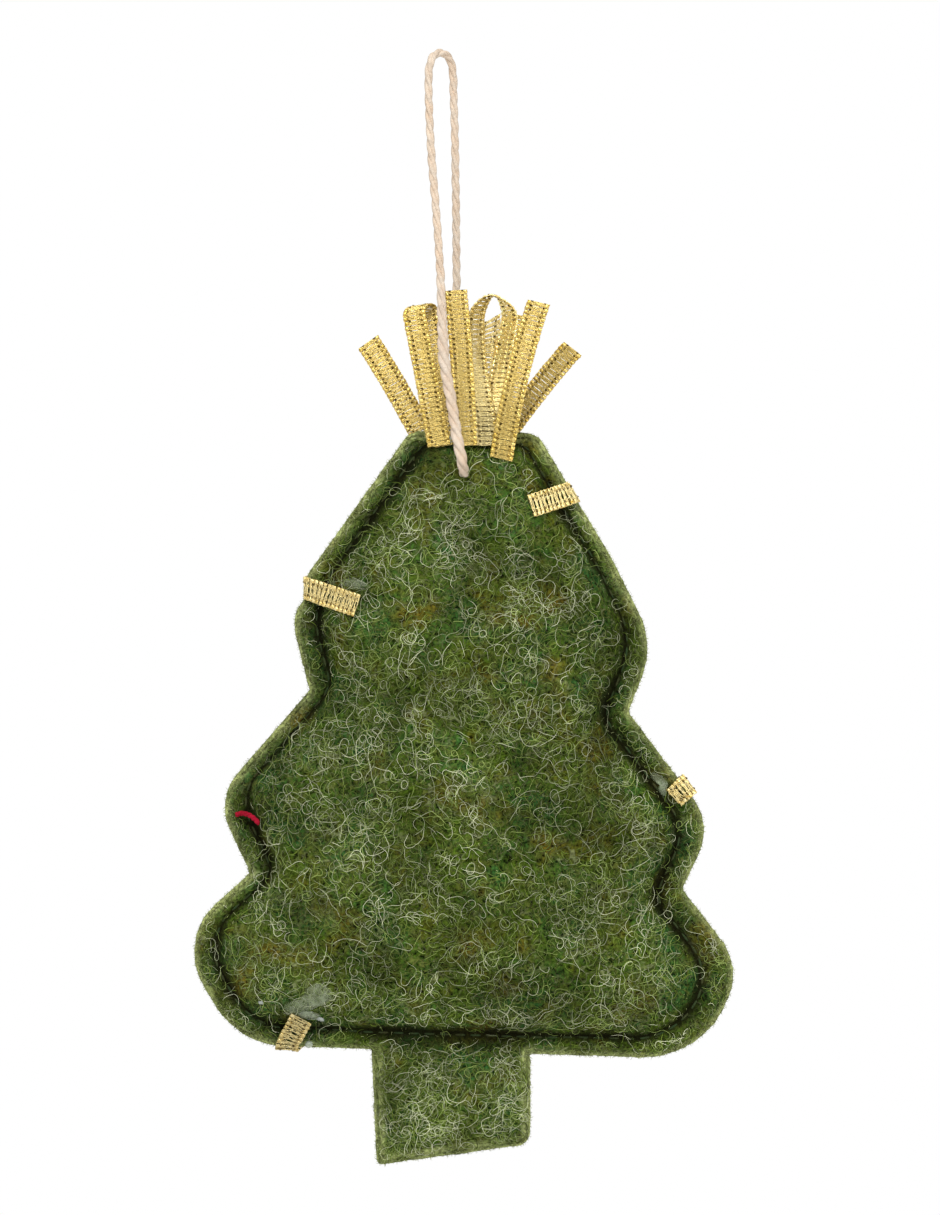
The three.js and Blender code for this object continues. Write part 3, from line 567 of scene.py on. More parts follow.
def outlineLoops():
    left, right = felt["left"], felt["right"]
    slope = (right[-1][1] - left[-1][1]) / (right[-1][0] - left[-1][0])
    roots = [(x, left[-1][1] + slope * (x - left[-1][0]), felt["trunkRound"]) for x in felt["trunkSides"]]
    trunk = [roots[0], *felt["trunkFoot"], roots[1]]
    cut = [c[:3] for c in left] + trunk + [c[:3] for c in reversed(right)]
    around = left + right[::-1]
    ring = np.array([c[:2] for c in around], float)
    margins = [c[4] for c in left] + [c[4] for c in right[:-1]][::-1] + [felt["topMargin"]]
    along = unit(np.roll(ring, -1, 0) - ring)
    inward = np.stack([-along[:, 1], along[:, 0]], 1)
    start = ring + inward * np.array(margins)[:, None]
    seam = []
    for i in range(len(ring)):
        a, u, b, v = start[i - 1], along[i - 1], start[i], along[i]
        share = ((b - a)[0] * v[1] - (b - a)[1] * v[0]) / (u[0] * v[1] - u[1] * v[0])
        seam.append((*(a + u * share), around[i][3]))
    edge = roundedLoop(cut, felt["edgeStep"])
    outward = outwardOf(edge)
    for x, z, depth, reach in felt["pulls"]:
        pull = depth * np.exp(-(np.linalg.norm(edge - (x, z), axis=1) / reach) ** 2)
        edge = edge - outward * pull[:, None]
    return edge, roundedLoop(seam, felt["edgeStep"])


cutLoop, seamLoop = outlineLoops()


# Distance to a loop, and the way out across it
def nearestOn(loop, points):
    points = np.asarray(points, float)
    best = np.full(len(points), np.inf)
    foot = np.zeros_like(points)
    out = np.zeros_like(points)
    for p, q in zip(loop, np.roll(loop, -1, 0)):
        d = q - p
        t = np.clip(((points - p) @ d) / (d @ d), 0, 1)
        near = p + t[:, None] * d
        gap = np.linalg.norm(points - near, axis=1)
        closer = gap < best
        best[closer] = gap[closer]
        foot[closer] = near[closer]
        out[closer] = unit(np.array((d[1], -d[0])))
    away = np.where((best > 0.2)[:, None], unit(foot - points), out)
    return best, away


def insideOf(loop, points):
    points = np.asarray(points, float)
    inside = np.zeros(len(points), bool)
    for p, q in zip(loop, np.roll(loop, -1, 0)):
        spans = (p[1] > points[:, 1]) != (q[1] > points[:, 1])
        rise = q[1] - p[1]
        cross = p[0] + (points[:, 1] - p[1]) * (q[0] - p[0]) / (rise if abs(rise) > 1e-9 else 1e-9)
        inside ^= spans & (points[:, 0] < cross)
    return inside


# The stuffing's pressure swells the felt as it swells a film held along the seam
def relaxFilm():
    pitch = felt["filmPitch"]
    low = seamLoop.min(0) - pitch
    shape = np.ceil((seamLoop.max(0) - low) / pitch).astype(int) + 2
    gx, gz = np.meshgrid(np.arange(shape[0]), np.arange(shape[1]), indexing="ij")
    free = insideOf(seamLoop, np.stack([gx.ravel(), gz.ravel()], 1) * pitch + low).reshape(shape)
    film = np.zeros(shape)
    colours = [free & ((gx + gz) % 2 == k) for k in (0, 1)]
    for _ in range(felt["filmPasses"]):
        for cells in colours:
            even = np.zeros(shape)
            even[1:-1, 1:-1] = film[2:, 1:-1] + film[:-2, 1:-1] + film[1:-1, 2:] + film[1:-1, :-2] + 1
            film[cells] += felt["filmPull"] * (even[cells] / 4 - film[cells])
    film /= film.max()

    def sample(points):
        g = (points - low) / pitch
        k = np.clip(np.floor(g).astype(int), 0, shape - 2)
        f = np.clip(g - k, 0, 1)
        lower = film[k[:, 0], k[:, 1]] * (1 - f[:, 0]) + film[k[:, 0] + 1, k[:, 1]] * f[:, 0]
        upper = film[k[:, 0], k[:, 1] + 1] * (1 - f[:, 0]) + film[k[:, 0] + 1, k[:, 1] + 1] * f[:, 0]
        return lower * (1 - f[:, 1]) + upper * f[:, 1]

    return sample


filmAt = relaxFilm()
waves = np.random.default_rng(seeds["lumps"])
lumpWaves = [
    (waves.normal(size=2) / waves.uniform(2.5, 9) * 3, waves.uniform(0, 6.3)) for _ in range(40)
]  # direction and phase


def lumpAt(points):
    total = np.zeros(len(points))
    for way, phase in lumpWaves:
        total += np.sin(points @ way + phase)
    return total / math.sqrt(len(lumpWaves))


# Facts about each point of the flat layout, then its place at a depth d in front of the sewn joint
def readLayout(points):
    points = np.asarray(points, float)
    seamGap, _ = nearestOn(seamLoop, points)
    inside = insideOf(seamLoop, points)
    edgeGap, outward = nearestOn(cutLoop, points)
    onTrunk = smoothstep(*felt["trunkTop"], points[:, 1])
    low, high = felt["trunkSides"]
    near = smoothstep(-high - felt["besideTrunk"][1], -high, -points[:, 0])
    near *= smoothstep(low - felt["besideTrunk"][0], low, points[:, 0])
    lowBand = smoothstep(*felt["lowBand"], points[:, 1])
    reach = (seamGap + edgeGap) * (1 - onTrunk) + felt["trunkReach"] * onTrunk
    curl = felt["curl"] * (1 - near * lowBand * (1 - onTrunk)) * (1 - onTrunk) + felt["trunkCurl"] * onTrunk
    share = np.where(inside, 0, np.clip(1 - edgeGap / np.maximum(reach, 1e-6), 0, 1))
    base = felt["softness"] ** felt["power"]
    full = (1 + felt["softness"]) ** felt["power"] - base
    pinched = filmAt(points) * np.minimum(seamGap / felt["pinch"], 1) * inside
    swell = felt["crown"] * ((np.maximum(pinched, 0) + felt["softness"]) ** felt["power"] - base) / full
    fromCord = np.linalg.norm(points, axis=1) / felt["dimple"][1]
    dimple = felt["dimple"][0] * np.exp(-(fromCord**2))
    return {
        "points": points,
        "inside": inside,
        "seamGap": seamGap,
        "edgeGap": edgeGap,
        "outward": outward,
        "share": share,
        "tilt": np.arctan(2 * curl / np.maximum(reach, 1) * share),
        "rise": curl * share**2,
        "swell": swell,
        "lump": lumpAt(points) * felt["lump"] * smoothstep(0.3, 3, seamGap) - dimple,
        "shave": felt["edgeRound"] * (1 - np.sqrt(1 - np.clip(1 - edgeGap / felt["edgeRound"], 0, 1) ** 2)),
        "onTrunk": onTrunk,
    }


def placeAt(facts, depth, shave=0.0):
    half = faceDepth - felt["edgeRound"]
    side = math.copysign(1, depth)
    depth = depth - side * shave
    lean = np.sin(facts["tilt"]) * (depth + half * facts["share"])
    flat = facts["points"] - facts["outward"] * lean[:, None]
    swollen = side * (facts["swell"] + facts["lump"])
    return setAt(flat, -facts["rise"] - depth * np.cos(facts["tilt"]) - swollen)


def flatLayout():
    low, high = cutLoop.min(0), cutLoop.max(0)

    def hexGrid(pitch):
        rows = np.arange(low[1], high[1], pitch * math.sqrt(3) / 2)
        columns = np.arange(low[0], high[0], pitch)
        return np.array([(x + (i % 2) * pitch / 2, z) for i, z in enumerate(rows) for x in columns])

    keep = []
    deep, beyond, fromEdge = felt["openFrom"]
    for pitch, isFine in ((felt["finePitch"], True), (felt["openPitch"], False)):
        grid = hexGrid(pitch)
        grid = grid[insideOf(cutLoop, grid)]
        seamGap, _ = nearestOn(seamLoop, grid)
        edgeGap, _ = nearestOn(cutLoop, grid)
        within = insideOf(seamLoop, grid)
        isOpen = (within & (seamGap > deep)) | (~within & (seamGap > beyond) & (edgeGap > fromEdge))
        clear = (seamGap > felt["clearOf"][0]) & (edgeGap > felt["clearOf"][1])
        keep.append(grid[clear & (isOpen != isFine)])
    _, out = nearestOn(cutLoop, cutLoop)
    lip = cutLoop - out * felt["lip"][0]
    lip = lip[nearestOn(cutLoop, lip)[0] > felt["lip"][1]]
    points = np.concatenate([cutLoop, seamLoop, lip, *keep])
    first = len(cutLoop)
    rim = list(range(first))
    seamEdges = [(first + i, first + (i + 1) % len(seamLoop)) for i in range(len(seamLoop))]
    spots, _, triangles, *_ = delaunay_2d_cdt([Vector(p) for p in points], seamEdges, [rim], 1, 1e-6)
    return np.array([tuple(p) for p in spots]), np.array(triangles)


layoutPoints, layoutTriangles = flatLayout()
layoutFacts = readLayout(layoutPoints)
print("felt layout:", len(layoutPoints), "points", len(layoutTriangles), "triangles")


def openEdges(triangles):
    edges = np.concatenate([triangles[:, [0, 1]], triangles[:, [1, 2]], triangles[:, [2, 0]]])
    ordered = np.sort(edges, 1)
    _, where, counts = np.unique(ordered, axis=0, return_index=True, return_counts=True)
    return edges[where[counts == 1]]


# How a panel's parts take painted shade and painted light, are rubbed bare and are covered in fibres, with
# lengths in mm
panelLook = {
    "groove": (0.62, 1.15),  # reach of the painted groove shade towards the crown and towards the edge
    "wander": (1.1, 0.45, 0.55, 2),  # of that reach: mean, swing, least and most
    "slope": 0.75,  # painted shade over the margin, deepest beside the seam
    "rim": {-1: 0.1, 1: 0.6},  # painted light on the cut edge, front and rear
    "trunkRim": (1.7, 0.95),  # breadth and strength of the painted light on the trunk's edge in front
    # painted light on the inner faces, and on the front walls from the outer face to the joint
    "inner": 0.6,
    "frontWall": (0.26, 0.74),
    "fuzz": (0.08, 0.92, 0.2, 1.8),  # least, more away from the seam, and where that begins and ends
    "moreFuzz": (1.1, 0.7, 1.4),  # on the trunk, on the margin and on the cut edge
    "rearClear": (4, 7),  # no rear fibre lies in the cord's way
    "rubbed": (3.4, 2.6),  # the cord rubs the felt bare
    "nap": (0.06, 0.5, 0.2, 2),  # on the faces, more at the rim, on the cut edge, more where the wall's painted light is stronger
}


def paintPanel(piece, side, rimCount):
    facts, look = layoutFacts, panelLook
    flatX, edgeGap, seamGap = facts["points"][:, 0], facts["edgeGap"], facts["seamGap"]
    low, high = felt["trunkSides"]
    trunkOnly = facts["onTrunk"] * (flatX > low - 0.6) * (flatX < high + 0.6)
    onMargin = ~facts["inside"] * (1 - trunkOnly)
    mean, swing, least, most = look["wander"]
    wander = np.clip(mean + swing * lumpAt(facts["points"] * 0.7), least, most)
    # painted shade along the seam ditch, with a reach that wanders
    spread = np.where(facts["inside"], *look["groove"]) * wander
    ditchShade = np.exp(-((seamGap / spread) ** 3)) * (1 - 0.2 * facts["onTrunk"])
    # painted shade over the margin, growing from the cut edge towards the seam
    inMargin = edgeGap / np.maximum(edgeGap + seamGap, 0.1)  # 0 at the edge, 1 at the seam
    slope = look["slope"] * inMargin * onMargin
    ditchShade = np.maximum(ditchShade, slope)
    # painted light on the cut edge: pale at the rim, along the trunk's edge in front and over the walls
    rimLight = smoothstep(0.8, 0, edgeGap) ** 1.3 * look["rim"][side]
    inward = np.repeat(felt["wallRings"], rimCount)  # 0 at the outer face, 1 at the joint
    paleness = 1 + 0 * inward
    if side < 0:
        broad, pale = look["trunkRim"]
        rimLight = np.maximum(rimLight, smoothstep(broad, 0, edgeGap) * pale * trunkOnly)
        paleness = look["frontWall"][0] + look["frontWall"][1] * inward
    least, more, *span = look["fuzz"]
    onTrunk, beside, onWall = look["moreFuzz"]
    fuzz = (least + more * smoothstep(*span, seamGap)) * (1 + onTrunk * trunkOnly + beside * onMargin)
    # fewer fibres where the margin's painted shade lies, so that it shows
    fuzz = fuzz * (1 - slope)
    fromCord = np.linalg.norm(facts["points"], axis=1)
    if side > 0:
        fuzz = fuzz * smoothstep(*look["rearClear"], fromCord)
    onFace, onRim, onEdge, onPale = look["nap"]
    nap = (onFace + onRim * rimLight) * (1 - smoothstep(*look["rubbed"], fromCord))
    none = 0 * ditchShade
    for name, values in (
        ("ditchShade", (ditchShade, ditchShade, 0 * inward)),
        ("cutEdgeLight", (rimLight, none + look["inner"], paleness)),
        ("fuzz", (fuzz, none, 0 * inward + onWall)),
        ("nap", (nap, none, onEdge + onPale * paleness)),
    ):
        setAttribute(piece, name, np.concatenate(values))


# A panel has an outer face, an inner face and a soft cut edge between them
def buildPanel(name, side):
    facts = layoutFacts
    half = felt["gap"] / 2
    outer = placeAt(facts, -side * faceDepth, facts["shave"])
    inner = placeAt(facts, -side * half)
    inner[:, 1] -= side * half * felt["closeUp"] * facts["share"]  # the layers close up at the cut edge
    triangles = layoutTriangles
    a, b, c = (outer[triangles[:, k]] for k in range(3))
    facing = np.cross(b - a, c - a)[:, 1].sum() * side > 0
    triangles = triangles if facing else triangles[:, ::-1]
    edges = openEdges(triangles)
    rim = np.unique(edges)
    count = len(outer)
    points = [outer, inner]
    rings = [dict(zip(rim, rim))]
    wobble = np.random.default_rng(seeds["walls"] + side)
    for share in felt["wallRings"]:
        ring = outer[rim] * (1 - share) + inner[rim] * share
        bulge = felt["wallBulge"] * math.sin(math.pi * share)
        bulge = bulge + felt["wallWobble"] * wobble.normal(size=len(rim))
        ring[:, [0, 2]] += facts["outward"][rim] * bulge[:, None]
        start = sum(len(p) for p in points)
        rings.append({k: start + i for i, k in enumerate(rim)})
        points.append(ring)
    rings.append({k: k + count for k in rim})
    faces = [tuple(t) for t in triangles] + [tuple(t[::-1] + count) for t in triangles]
    for upper, lower in zip(rings, rings[1:]):
        faces += [(upper[q], upper[p], lower[p], lower[q]) for p, q in edges]
    piece = makePiece(name, np.concatenate(points), faces, greenFelt)
    paintPanel(piece, side, len(rim))
    return piece


frontFelt = settle(buildPanel("frontFelt", -1), "tree", "green_felt", "front_felt_panel")
rearFelt = settle(buildPanel("rearFelt", 1), "tree", "green_felt", "rear_felt_panel")
print("felt panels:", len(frontFelt.data.polygons), "faces each")


# Curly fibres that lie on the felt: each walks over the flat face, turning as it goes
def buildFibreTree():
    inputs = {
        "Density": 1e5,
        "Steps": 30,
        "Step": 0.00045,
        "Curl": 0.3,
        "Wander": 0.5,
        "Lift": 0.0003,
        "Radius": 0.00006,
        "Side": -1.0,
        "Seed": 1,
    }
    net, given, result = growthTree("curlyFibres", inputs)
    here = net.position()
    clumps = net.remap(net.noise(here, 170.0), (0.36, 0.64), (0.1, 2.0))
    density = net.times(given["Density"], net.times(clumps, net.named("fuzz")))
    roots = net.stored(net.scatter(given, density)["Points"], "root", here, "FLOAT_VECTOR")
    for name, low, high, seed in (("spin", 0.0, 6.283, 1), ("bend", -1.0, 1.0, 2), ("tone", 0.0, 1.0, 3)):
        roots = net.stored(roots, name, net.random(low, high, seed))
    strands = net.instances(roots, net.line(given["Steps"], End=(0.01, 0, 0)))

    # the walk over the flat face
    owner = net.node("GeometryNodeCurveOfPoint").outputs
    number, place = owner["Curve Index"], owner["Index in Curve"]
    sway = net.noiseAt(net.times(place, 0.3), net.times(number, 3.7), 0.5)
    sway = net.times(net.minus(sway, 0.5), given["Wander"])
    turn = net.calc("MULTIPLY_ADD", net.named("bend"), given["Curl"], sway)
    heading = net.plus(net.running(turn, number), net.named("spin"))
    way = net.combine(X=net.calc("COSINE", heading), Z=net.calc("SINE", heading))
    walked = net.running(net.scaled(way, given["Step"]), number, "FLOAT_VECTOR")
    parts = net.separate(net.vector("ADD", net.named("root", "FLOAT_VECTOR"), walked))

    # laid on the felt, with a little lift
    feeds = {
        "Target Geometry": given["Geometry"],
        "Source Position": net.combine(X=parts["X"], Y=net.times(given["Side"], 0.05), Z=parts["Z"]),
        "Ray Direction": net.combine(Y=net.times(given["Side"], -1.0)),
        "Ray Length": 0.1,
        "Attribute": net.named("ditchShade"),
    }
    ray = net.node("GeometryNodeRaycast", feeds, data_type="FLOAT").outputs
    rise = net.noiseAt(net.times(place, 0.22), net.times(number, 1.9), 7.5)
    rise = net.times(net.remap(rise, (0.35, 0.75), (0.1, 1.0)), given["Lift"])
    spot = net.vector("ADD", ray["Hit Position"], net.scaled(ray["Hit Normal"], rise))
    strands = net.moved(strands, Position=spot)

    # cut where they leave the felt or run into the deep painted shade of the seam ditch
    missed = net.minus(1.0, ray["Is Hit"])
    caught = net.calc("GREATER_THAN", socketOf(ray, "Attribute"), net.random(0.3, 1.2, 11, number))
    missed = net.calc("MAXIMUM", missed, caught)
    strands = net.stored(strands, "lost", net.calc("GREATER_THAN", net.running(missed, number), 0.5))
    strands = net.delete(strands, net.named("lost"), "POINT")
    stub = net.calc("LESS_THAN", net.put("GeometryNodeSplineLength", out="Point Count"), 4.0)
    strands = net.delete(strands, stub, "CURVE")

    # drawn straight over hollows, and trimmed to uneven lengths
    height = net.times(net.separate(here)["Y"], given["Side"])
    level = net.put("GeometryNodeBlurAttribute", {"Value": height, "Iterations": 5}, data_type="FLOAT")
    bridge = net.times(net.calc("MAXIMUM", net.minus(level, height), 0.0), given["Side"])
    strands = net.moved(strands, Offset=net.combine(Y=bridge))
    cutAt = net.random(0.25, 1.0, 9, net.put("GeometryNodeInputIndex"))
    strands = net.put("GeometryNodeTrimCurve", {"Curve": strands, "End": cutAt}, mode="FACTOR")
    taper = net.remap(net.toEnd(), (0.0, 0.12), (0.3, 1.0))
    return closeGrowth(net, given, result, net.sweep(strands, given["Radius"], 3, taper))


curlyFibres = buildFibreTree()
paleFibre = buildFibreFinish("paleFibre", (0.18, 0.225, 0.09, 1), (0.97, 1.0, 0.68, 1))
midFibre = buildFibreFinish("midFibre", (0.05, 0.085, 0.012, 1), (0.405, 0.515, 0.15, 1))
greenFibre = buildFibreFinish("greenFibre", (0.014, 0.022, 0.003, 1), (0.172, 0.245, 0.038, 1))
fibreLabels = ("Density", "Steps", "Step", "Curl", "Wander", "Lift", "Radius", "Material")
fibreKinds = {
    "pale": (3.8e5, 20, 0.00034, 0.42, 2.6, 0.0003, 0.000027, paleFibre),
    "mid": (6.0e5, 14, 0.00036, 0.5, 2.8, 0.00025, 0.000035, midFibre),
    "green": (8.0e5, 7, 0.00036, 0.4, 2.0, 0.0002, 0.000058, greenFibre),
}
panels = ((frontFelt, "Front", -1.0), (rearFelt, "Rear", 1.0))


def growOn(panel, name, tree, values):
    piece = settle(grow(linkObject(name, panel.data.copy()), tree, values), "tree", "green_felt")
    print(name, len(piece.data.polygons), "faces")


for kind, look in fibreKinds.items():
    for panel, sideName, side in panels:
        seed = seeds["fibres"] + len(kind) + int(side)
        values = {**dict(zip(fibreLabels, look)), "Side": side, "Seed": seed}
        growOn(panel, kind + "Fibres" + sideName, curlyFibres, values)


# Short nap that stands on the cut edges and, thinly, on the faces
def buildNapTree():
    inputs = {"Density": 1e6, "Length": 0.0006, "Radius": 0.00004, "Seed": 1}
    net, given, result = growthTree("edgeNap", inputs)
    scatter = net.scatter(given, net.times(given["Density"], net.named("nap")))
    roots = net.stored(scatter["Points"], "tone", net.random(0.0, 1.0, 3))
    feeds = {"Resolution": 3, "Start": (0, 0, -0.1), "Middle": (0.1, 0, 0.6), "End": (0.7, 0, 0.75)}
    hair = net.put("GeometryNodeCurveQuadraticBezier", feeds)
    spin = net.random((-0.5, -0.5, 0), (0.5, 0.5, 6.283), 4, kind="FLOAT_VECTOR")
    spin = net.put("FunctionNodeEulerToRotation", {0: spin})
    feeds = {"Rotation": scatter["Rotation"], "Rotate By": spin}
    rotation = net.put("FunctionNodeRotateRotation", feeds, rotation_space="LOCAL")
    size = net.times(given["Length"], net.random(0.4, 1.2, 5))
    hairs = net.instances(roots, hair, Rotation=rotation, Scale=size)
    taper = net.remap(net.factor(), target=(1.0, 0.3))
    return closeGrowth(net, given, result, net.sweep(hairs, given["Radius"], 3, taper))


edgeNap = buildNapTree()
# the nap's pale end is partly the fibres' own colour and partly painted light, for the pale halo of backlit
# fuzz at the edge
napFibre = buildFibreFinish("napFibre", (0.13, 0.165, 0.045, 1), (0.62, 0.67, 0.32, 1))
napLook = {"Density": 4.0e6, "Length": 0.00042, "Radius": 0.00004, "Material": napFibre}
for panel, sideName, _ in panels:
    growOn(panel, "nap" + sideName, edgeNap, {**napLook, "Seed": seeds["nap"] + len(sideName)})


# Hanging cord: three twisted plies along the route from hole to hole, fuller where it leaves the front
cord = {
    "route": [
        (0, -3.7, 0), (0, -4.93, 0), (0, -6.23, 0.35), (-0.2, -7.18, 1.3), (-0.45, -7.55, 2.6),
        (-0.75, -7.6, 4), (-1.28, -7.3, 7), (-1.95, -6.9, 11), (-2.75, -6.5, 15.5),
        (-3.1, -6.1, 21), (-3.3, -5.6, 27), (-3.65, -4.7, 33),
        (-4.1, -3.7, 39), (-4.6, -2.8, 45), (-4.9, -2.1, 50), (-5.05, -1.9, 55), (-4.97, -1.8, 57.75),
        (-4.48, -1.27, 59.48), (-3.3, 0, 60.2), (-2.12, 1.27, 59.48), (-1.63, 1.8, 57.75), (-1.5, 1.95, 55),
        (-1.35, 2.3, 50), (-1.25, 2.8, 45), (-1.15, 3.6, 38.5), (-1.1, 4.4, 32), (-1.05, 5.1, 26),
        (-0.9, 5.7, 20.5), (-0.7, 6.2, 15), (-0.5, 6.6, 10.5), (-0.35, 7, 7),
        (-0.2, 7.33, 4), (-0.1, 7.3, 2.45), (-0.05, 6.98, 1.23),
        (0, 6.13, 0.33), (0, 4.93, 0), (0, 3.7, 0),
    ],
    "step": 0.22,
    "twist": {
        "diameter": 1.2,
        "plies": 3,
        "lay": 6.6,
        "sides": 10,
        "seed": seeds["cord"],
        "fullness": [(0, 1.15), (4, 1.38), (20, 1.4), (27, 1.15), (34, 1.0)],  # mm along, share of its size
    },
}
plyShare = {2: 0.34, 3: 0.27}  # a ply's radius in a cord of one diameter
spanSteps = 24  # points between two marks of a route


def smoothRoute(route, step):
    route = np.asarray(route, float)
    padded = np.concatenate([[2 * route[0] - route[1]], route, [2 * route[-1] - route[-2]]])
    dense = []
    for i in range(len(route) - 1):
        p = padded[i : i + 4]
        t = np.concatenate([[0], np.cumsum(np.linalg.norm(np.diff(p, axis=0), axis=1) ** 0.5)])
        for s in np.linspace(t[1], t[2], spanSteps, endpoint=False):
            a = [(p[k] * (t[k + 1] - s) + p[k + 1] * (s - t[k])) / (t[k + 1] - t[k]) for k in range(3)]
            b = [(a[k] * (t[k + 2] - s) + a[k + 1] * (s - t[k])) / (t[k + 2] - t[k]) for k in range(2)]
            dense.append((b[0] * (t[2] - s) + b[1] * (s - t[1])) / (t[2] - t[1]))
    dense.append(route[-1])
    dense = np.array(dense)
    run = runAlong(dense)
    marks = np.linspace(0, run[-1], max(3, round(run[-1] / step)))
    return np.stack([np.interp(marks, run, dense[:, k]) for k in range(3)], 1), run[-1]


# Crosswise directions that don't spin along a line
def carriedFrames(line):
    along = unit(np.gradient(line, axis=0))
    side = unit(np.cross(along[0], (0.3, 0.2, 0.9)))
    sides = []
    for t in along:
        side = unit(side - t * (side @ t))
        sides.append(side)
    sides = np.array(sides)
    return sides, np.cross(along, sides)


def tubeAlong(line, radii, sides):
    u, v = carriedFrames(line)
    angles = np.linspace(0, 2 * np.pi, sides, endpoint=False)
    rings = [line + (u * math.cos(a) + v * math.sin(a)) * np.asarray(radii).reshape(-1, 1) for a in angles]
    return np.stack(rings, 1).reshape(-1, 3), tubeFaces(len(line), sides)


def twistedPlies(line, length, diameter, plies, lay, sides, seed, fullness=((0, 1),)):
    u, v = carriedFrames(line)
    run = np.linspace(0, length, len(line))
    wobble = np.random.default_rng(seed)
    size = diameter * np.interp(run, *np.transpose(fullness))
    plyRadius = size * plyShare[plies]
    offset = (size / 2 - plyRadius)[:, None]
    parts = []
    for k in range(plies):
        angle = -2 * np.pi * (run / lay + k / plies)
        centre = line + (u * np.cos(angle)[:, None] + v * np.sin(angle)[:, None]) * offset
        swell = plyRadius * (1 + 0.05 * np.interp(run, np.linspace(0, length, 60), wobble.normal(size=60)))
        parts.append(tubeAlong(centre, swell, sides))
    return joinParts(parts)


def buildTwistFinish(name, main, cool, warm, scale):
    finish, net, shader = newFinish(name, 0.95, **{"Specular IOR Level": 0.2})
    coords = net.coords()
    tone = net.group(toneDrift, Vector=coords, Scale=scale, Main=main, Cool=cool, Warm=warm)
    strands = net.group(fibreTangle, Vector=coords, Scale=2600.0, Width=0.08, Shift=2.0)
    grain = net.noise(coords, 5200.0, 3.0)
    net.feed(shader["Base Color"], net.vector("MULTIPLY", tone, net.remap(grain, target=(0.82, 1.1))))
    addBump(net, shader, net.plus(strands, grain), 0.00008, 0.7)
    return finish


cottonTones = ((0.81, 0.65, 0.5, 1), (0.83, 0.71, 0.58, 1), (0.78, 0.59, 0.43, 1))
cottonTwist = buildTwistFinish("cottonTwist", *cottonTones, 260.0)
cordLine, cordLength = smoothRoute(cord["route"], cord["step"])
hangingCord = makePiece("hangingCord", *twistedPlies(cordLine, cordLength, **cord["twist"]), cottonTwist)
settle(hangingCord, "hanging_loop", "cotton_cord", "hanging_cord")
print("cord:", round(cordLength, 1), "mm")

# The knot inside the stuffing: the cord's two ends and the turns that tie them
knot = {
    "radius": 0.9,
    "turns": 1.6,
    "reach": 3.6,
    "step": 0.25,
    "twist": {"diameter": 1.15, "plies": 3, "lay": 6.6, "sides": 6, "seed": seeds["knot"]},
}
knotRun = np.linspace(-1, 1, 90)
knotTurn = np.pi * knot["turns"] * smoothstep(-0.5, 0.5, knotRun) * 2
swing = knot["radius"] * smoothstep(0.75, 0.35, np.abs(knotRun))
knotLine = np.stack([swing * np.cos(knotTurn), knot["reach"] * knotRun, swing * np.sin(knotTurn)], 1)
knotLine[:, 1] = np.where(np.abs(knotRun) < 0.45, knotLine[:, 1] * 0.55, knotLine[:, 1])
knotPlies = twistedPlies(*smoothRoute(knotLine[::3], knot["step"]), **knot["twist"])
settle(makePiece("cordKnot", *knotPlies, cottonTwist), "hanging_loop", "cotton_cord", "cord_knot")

# Fibre fill inside the felt, clear of the seam and of the panels
fill = {"seamGap": 1.6, "clear": 0.4, "least": 0.05}
isFill = layoutFacts["inside"] & (layoutFacts["seamGap"] > fill["seamGap"])
fillIndex = np.full(len(layoutPoints), -1)
fillIndex[isFill] = np.arange(isFill.sum())
fillTriangles = fillIndex[layoutTriangles[(isFill[layoutTriangles]).all(1)]]
fillDepth = np.maximum(layoutFacts["swell"][isFill] - fill["clear"], fill["least"])
frontFill = setAt(layoutPoints[isFill], -fillDepth)
fillCount = len(frontFill)
fillFaces = [tuple(t) for t in fillTriangles] + [tuple(t[::-1] + fillCount) for t in fillTriangles]
fillFaces += [(q, p, p + fillCount, q + fillCount) for p, q in openEdges(fillTriangles)]
fillTones = ((0.86, 0.85, 0.8, 1), (0.9, 0.9, 0.88, 1), (0.82, 0.78, 0.7, 1))
fillWhite = buildTwistFinish("fillWhite", *fillTones, 90.0)
fillPoints = np.concatenate([frontFill, frontFill * (1, -1, 1)])
fibreFill = makePiece("fibreFill", fillPoints, fillFaces, fillWhite)
settle(fibreFill, "tree", "fibre_fill", "stuffing")


# Gold mesh ribbon. A tree weaves the flat mesh and lays it on a strip through the strip's map.
ribbon = {"width": 3.32, "reach": 5.0, "loop": 0.7, "wire": 0.062, "rungs": 5, "lanes": 5}
chainWires = (
    # place across the half width, sideways swing, back stroke, depth, phase, thickness, paleness
    (0.9, 0.12, 0.1, 0.09, 0.0, 0.9, 0.0),
    (0.66, 0.12, 0.12, 0.12, 2.4, 0.9, 0.0),
    (0.25, 0.2, 0.14, 0.1, 1.1, 1.0, 1.0),
)
beadRows = (
    # place across the half width, share of a loop along, half sizes along, across and deep, darkness of the
    # painted shade
    (0.8, 0.0, (0.34, 0.36, 0.13), 0.0),
    (0.54, 0.5, (0.18, 0.21, 0.25), 1.0),
)
beadSpread = ((0.85, 0.85, 0.8), (1.12, 1.12, 1.2))  # least and most of a bead's half sizes


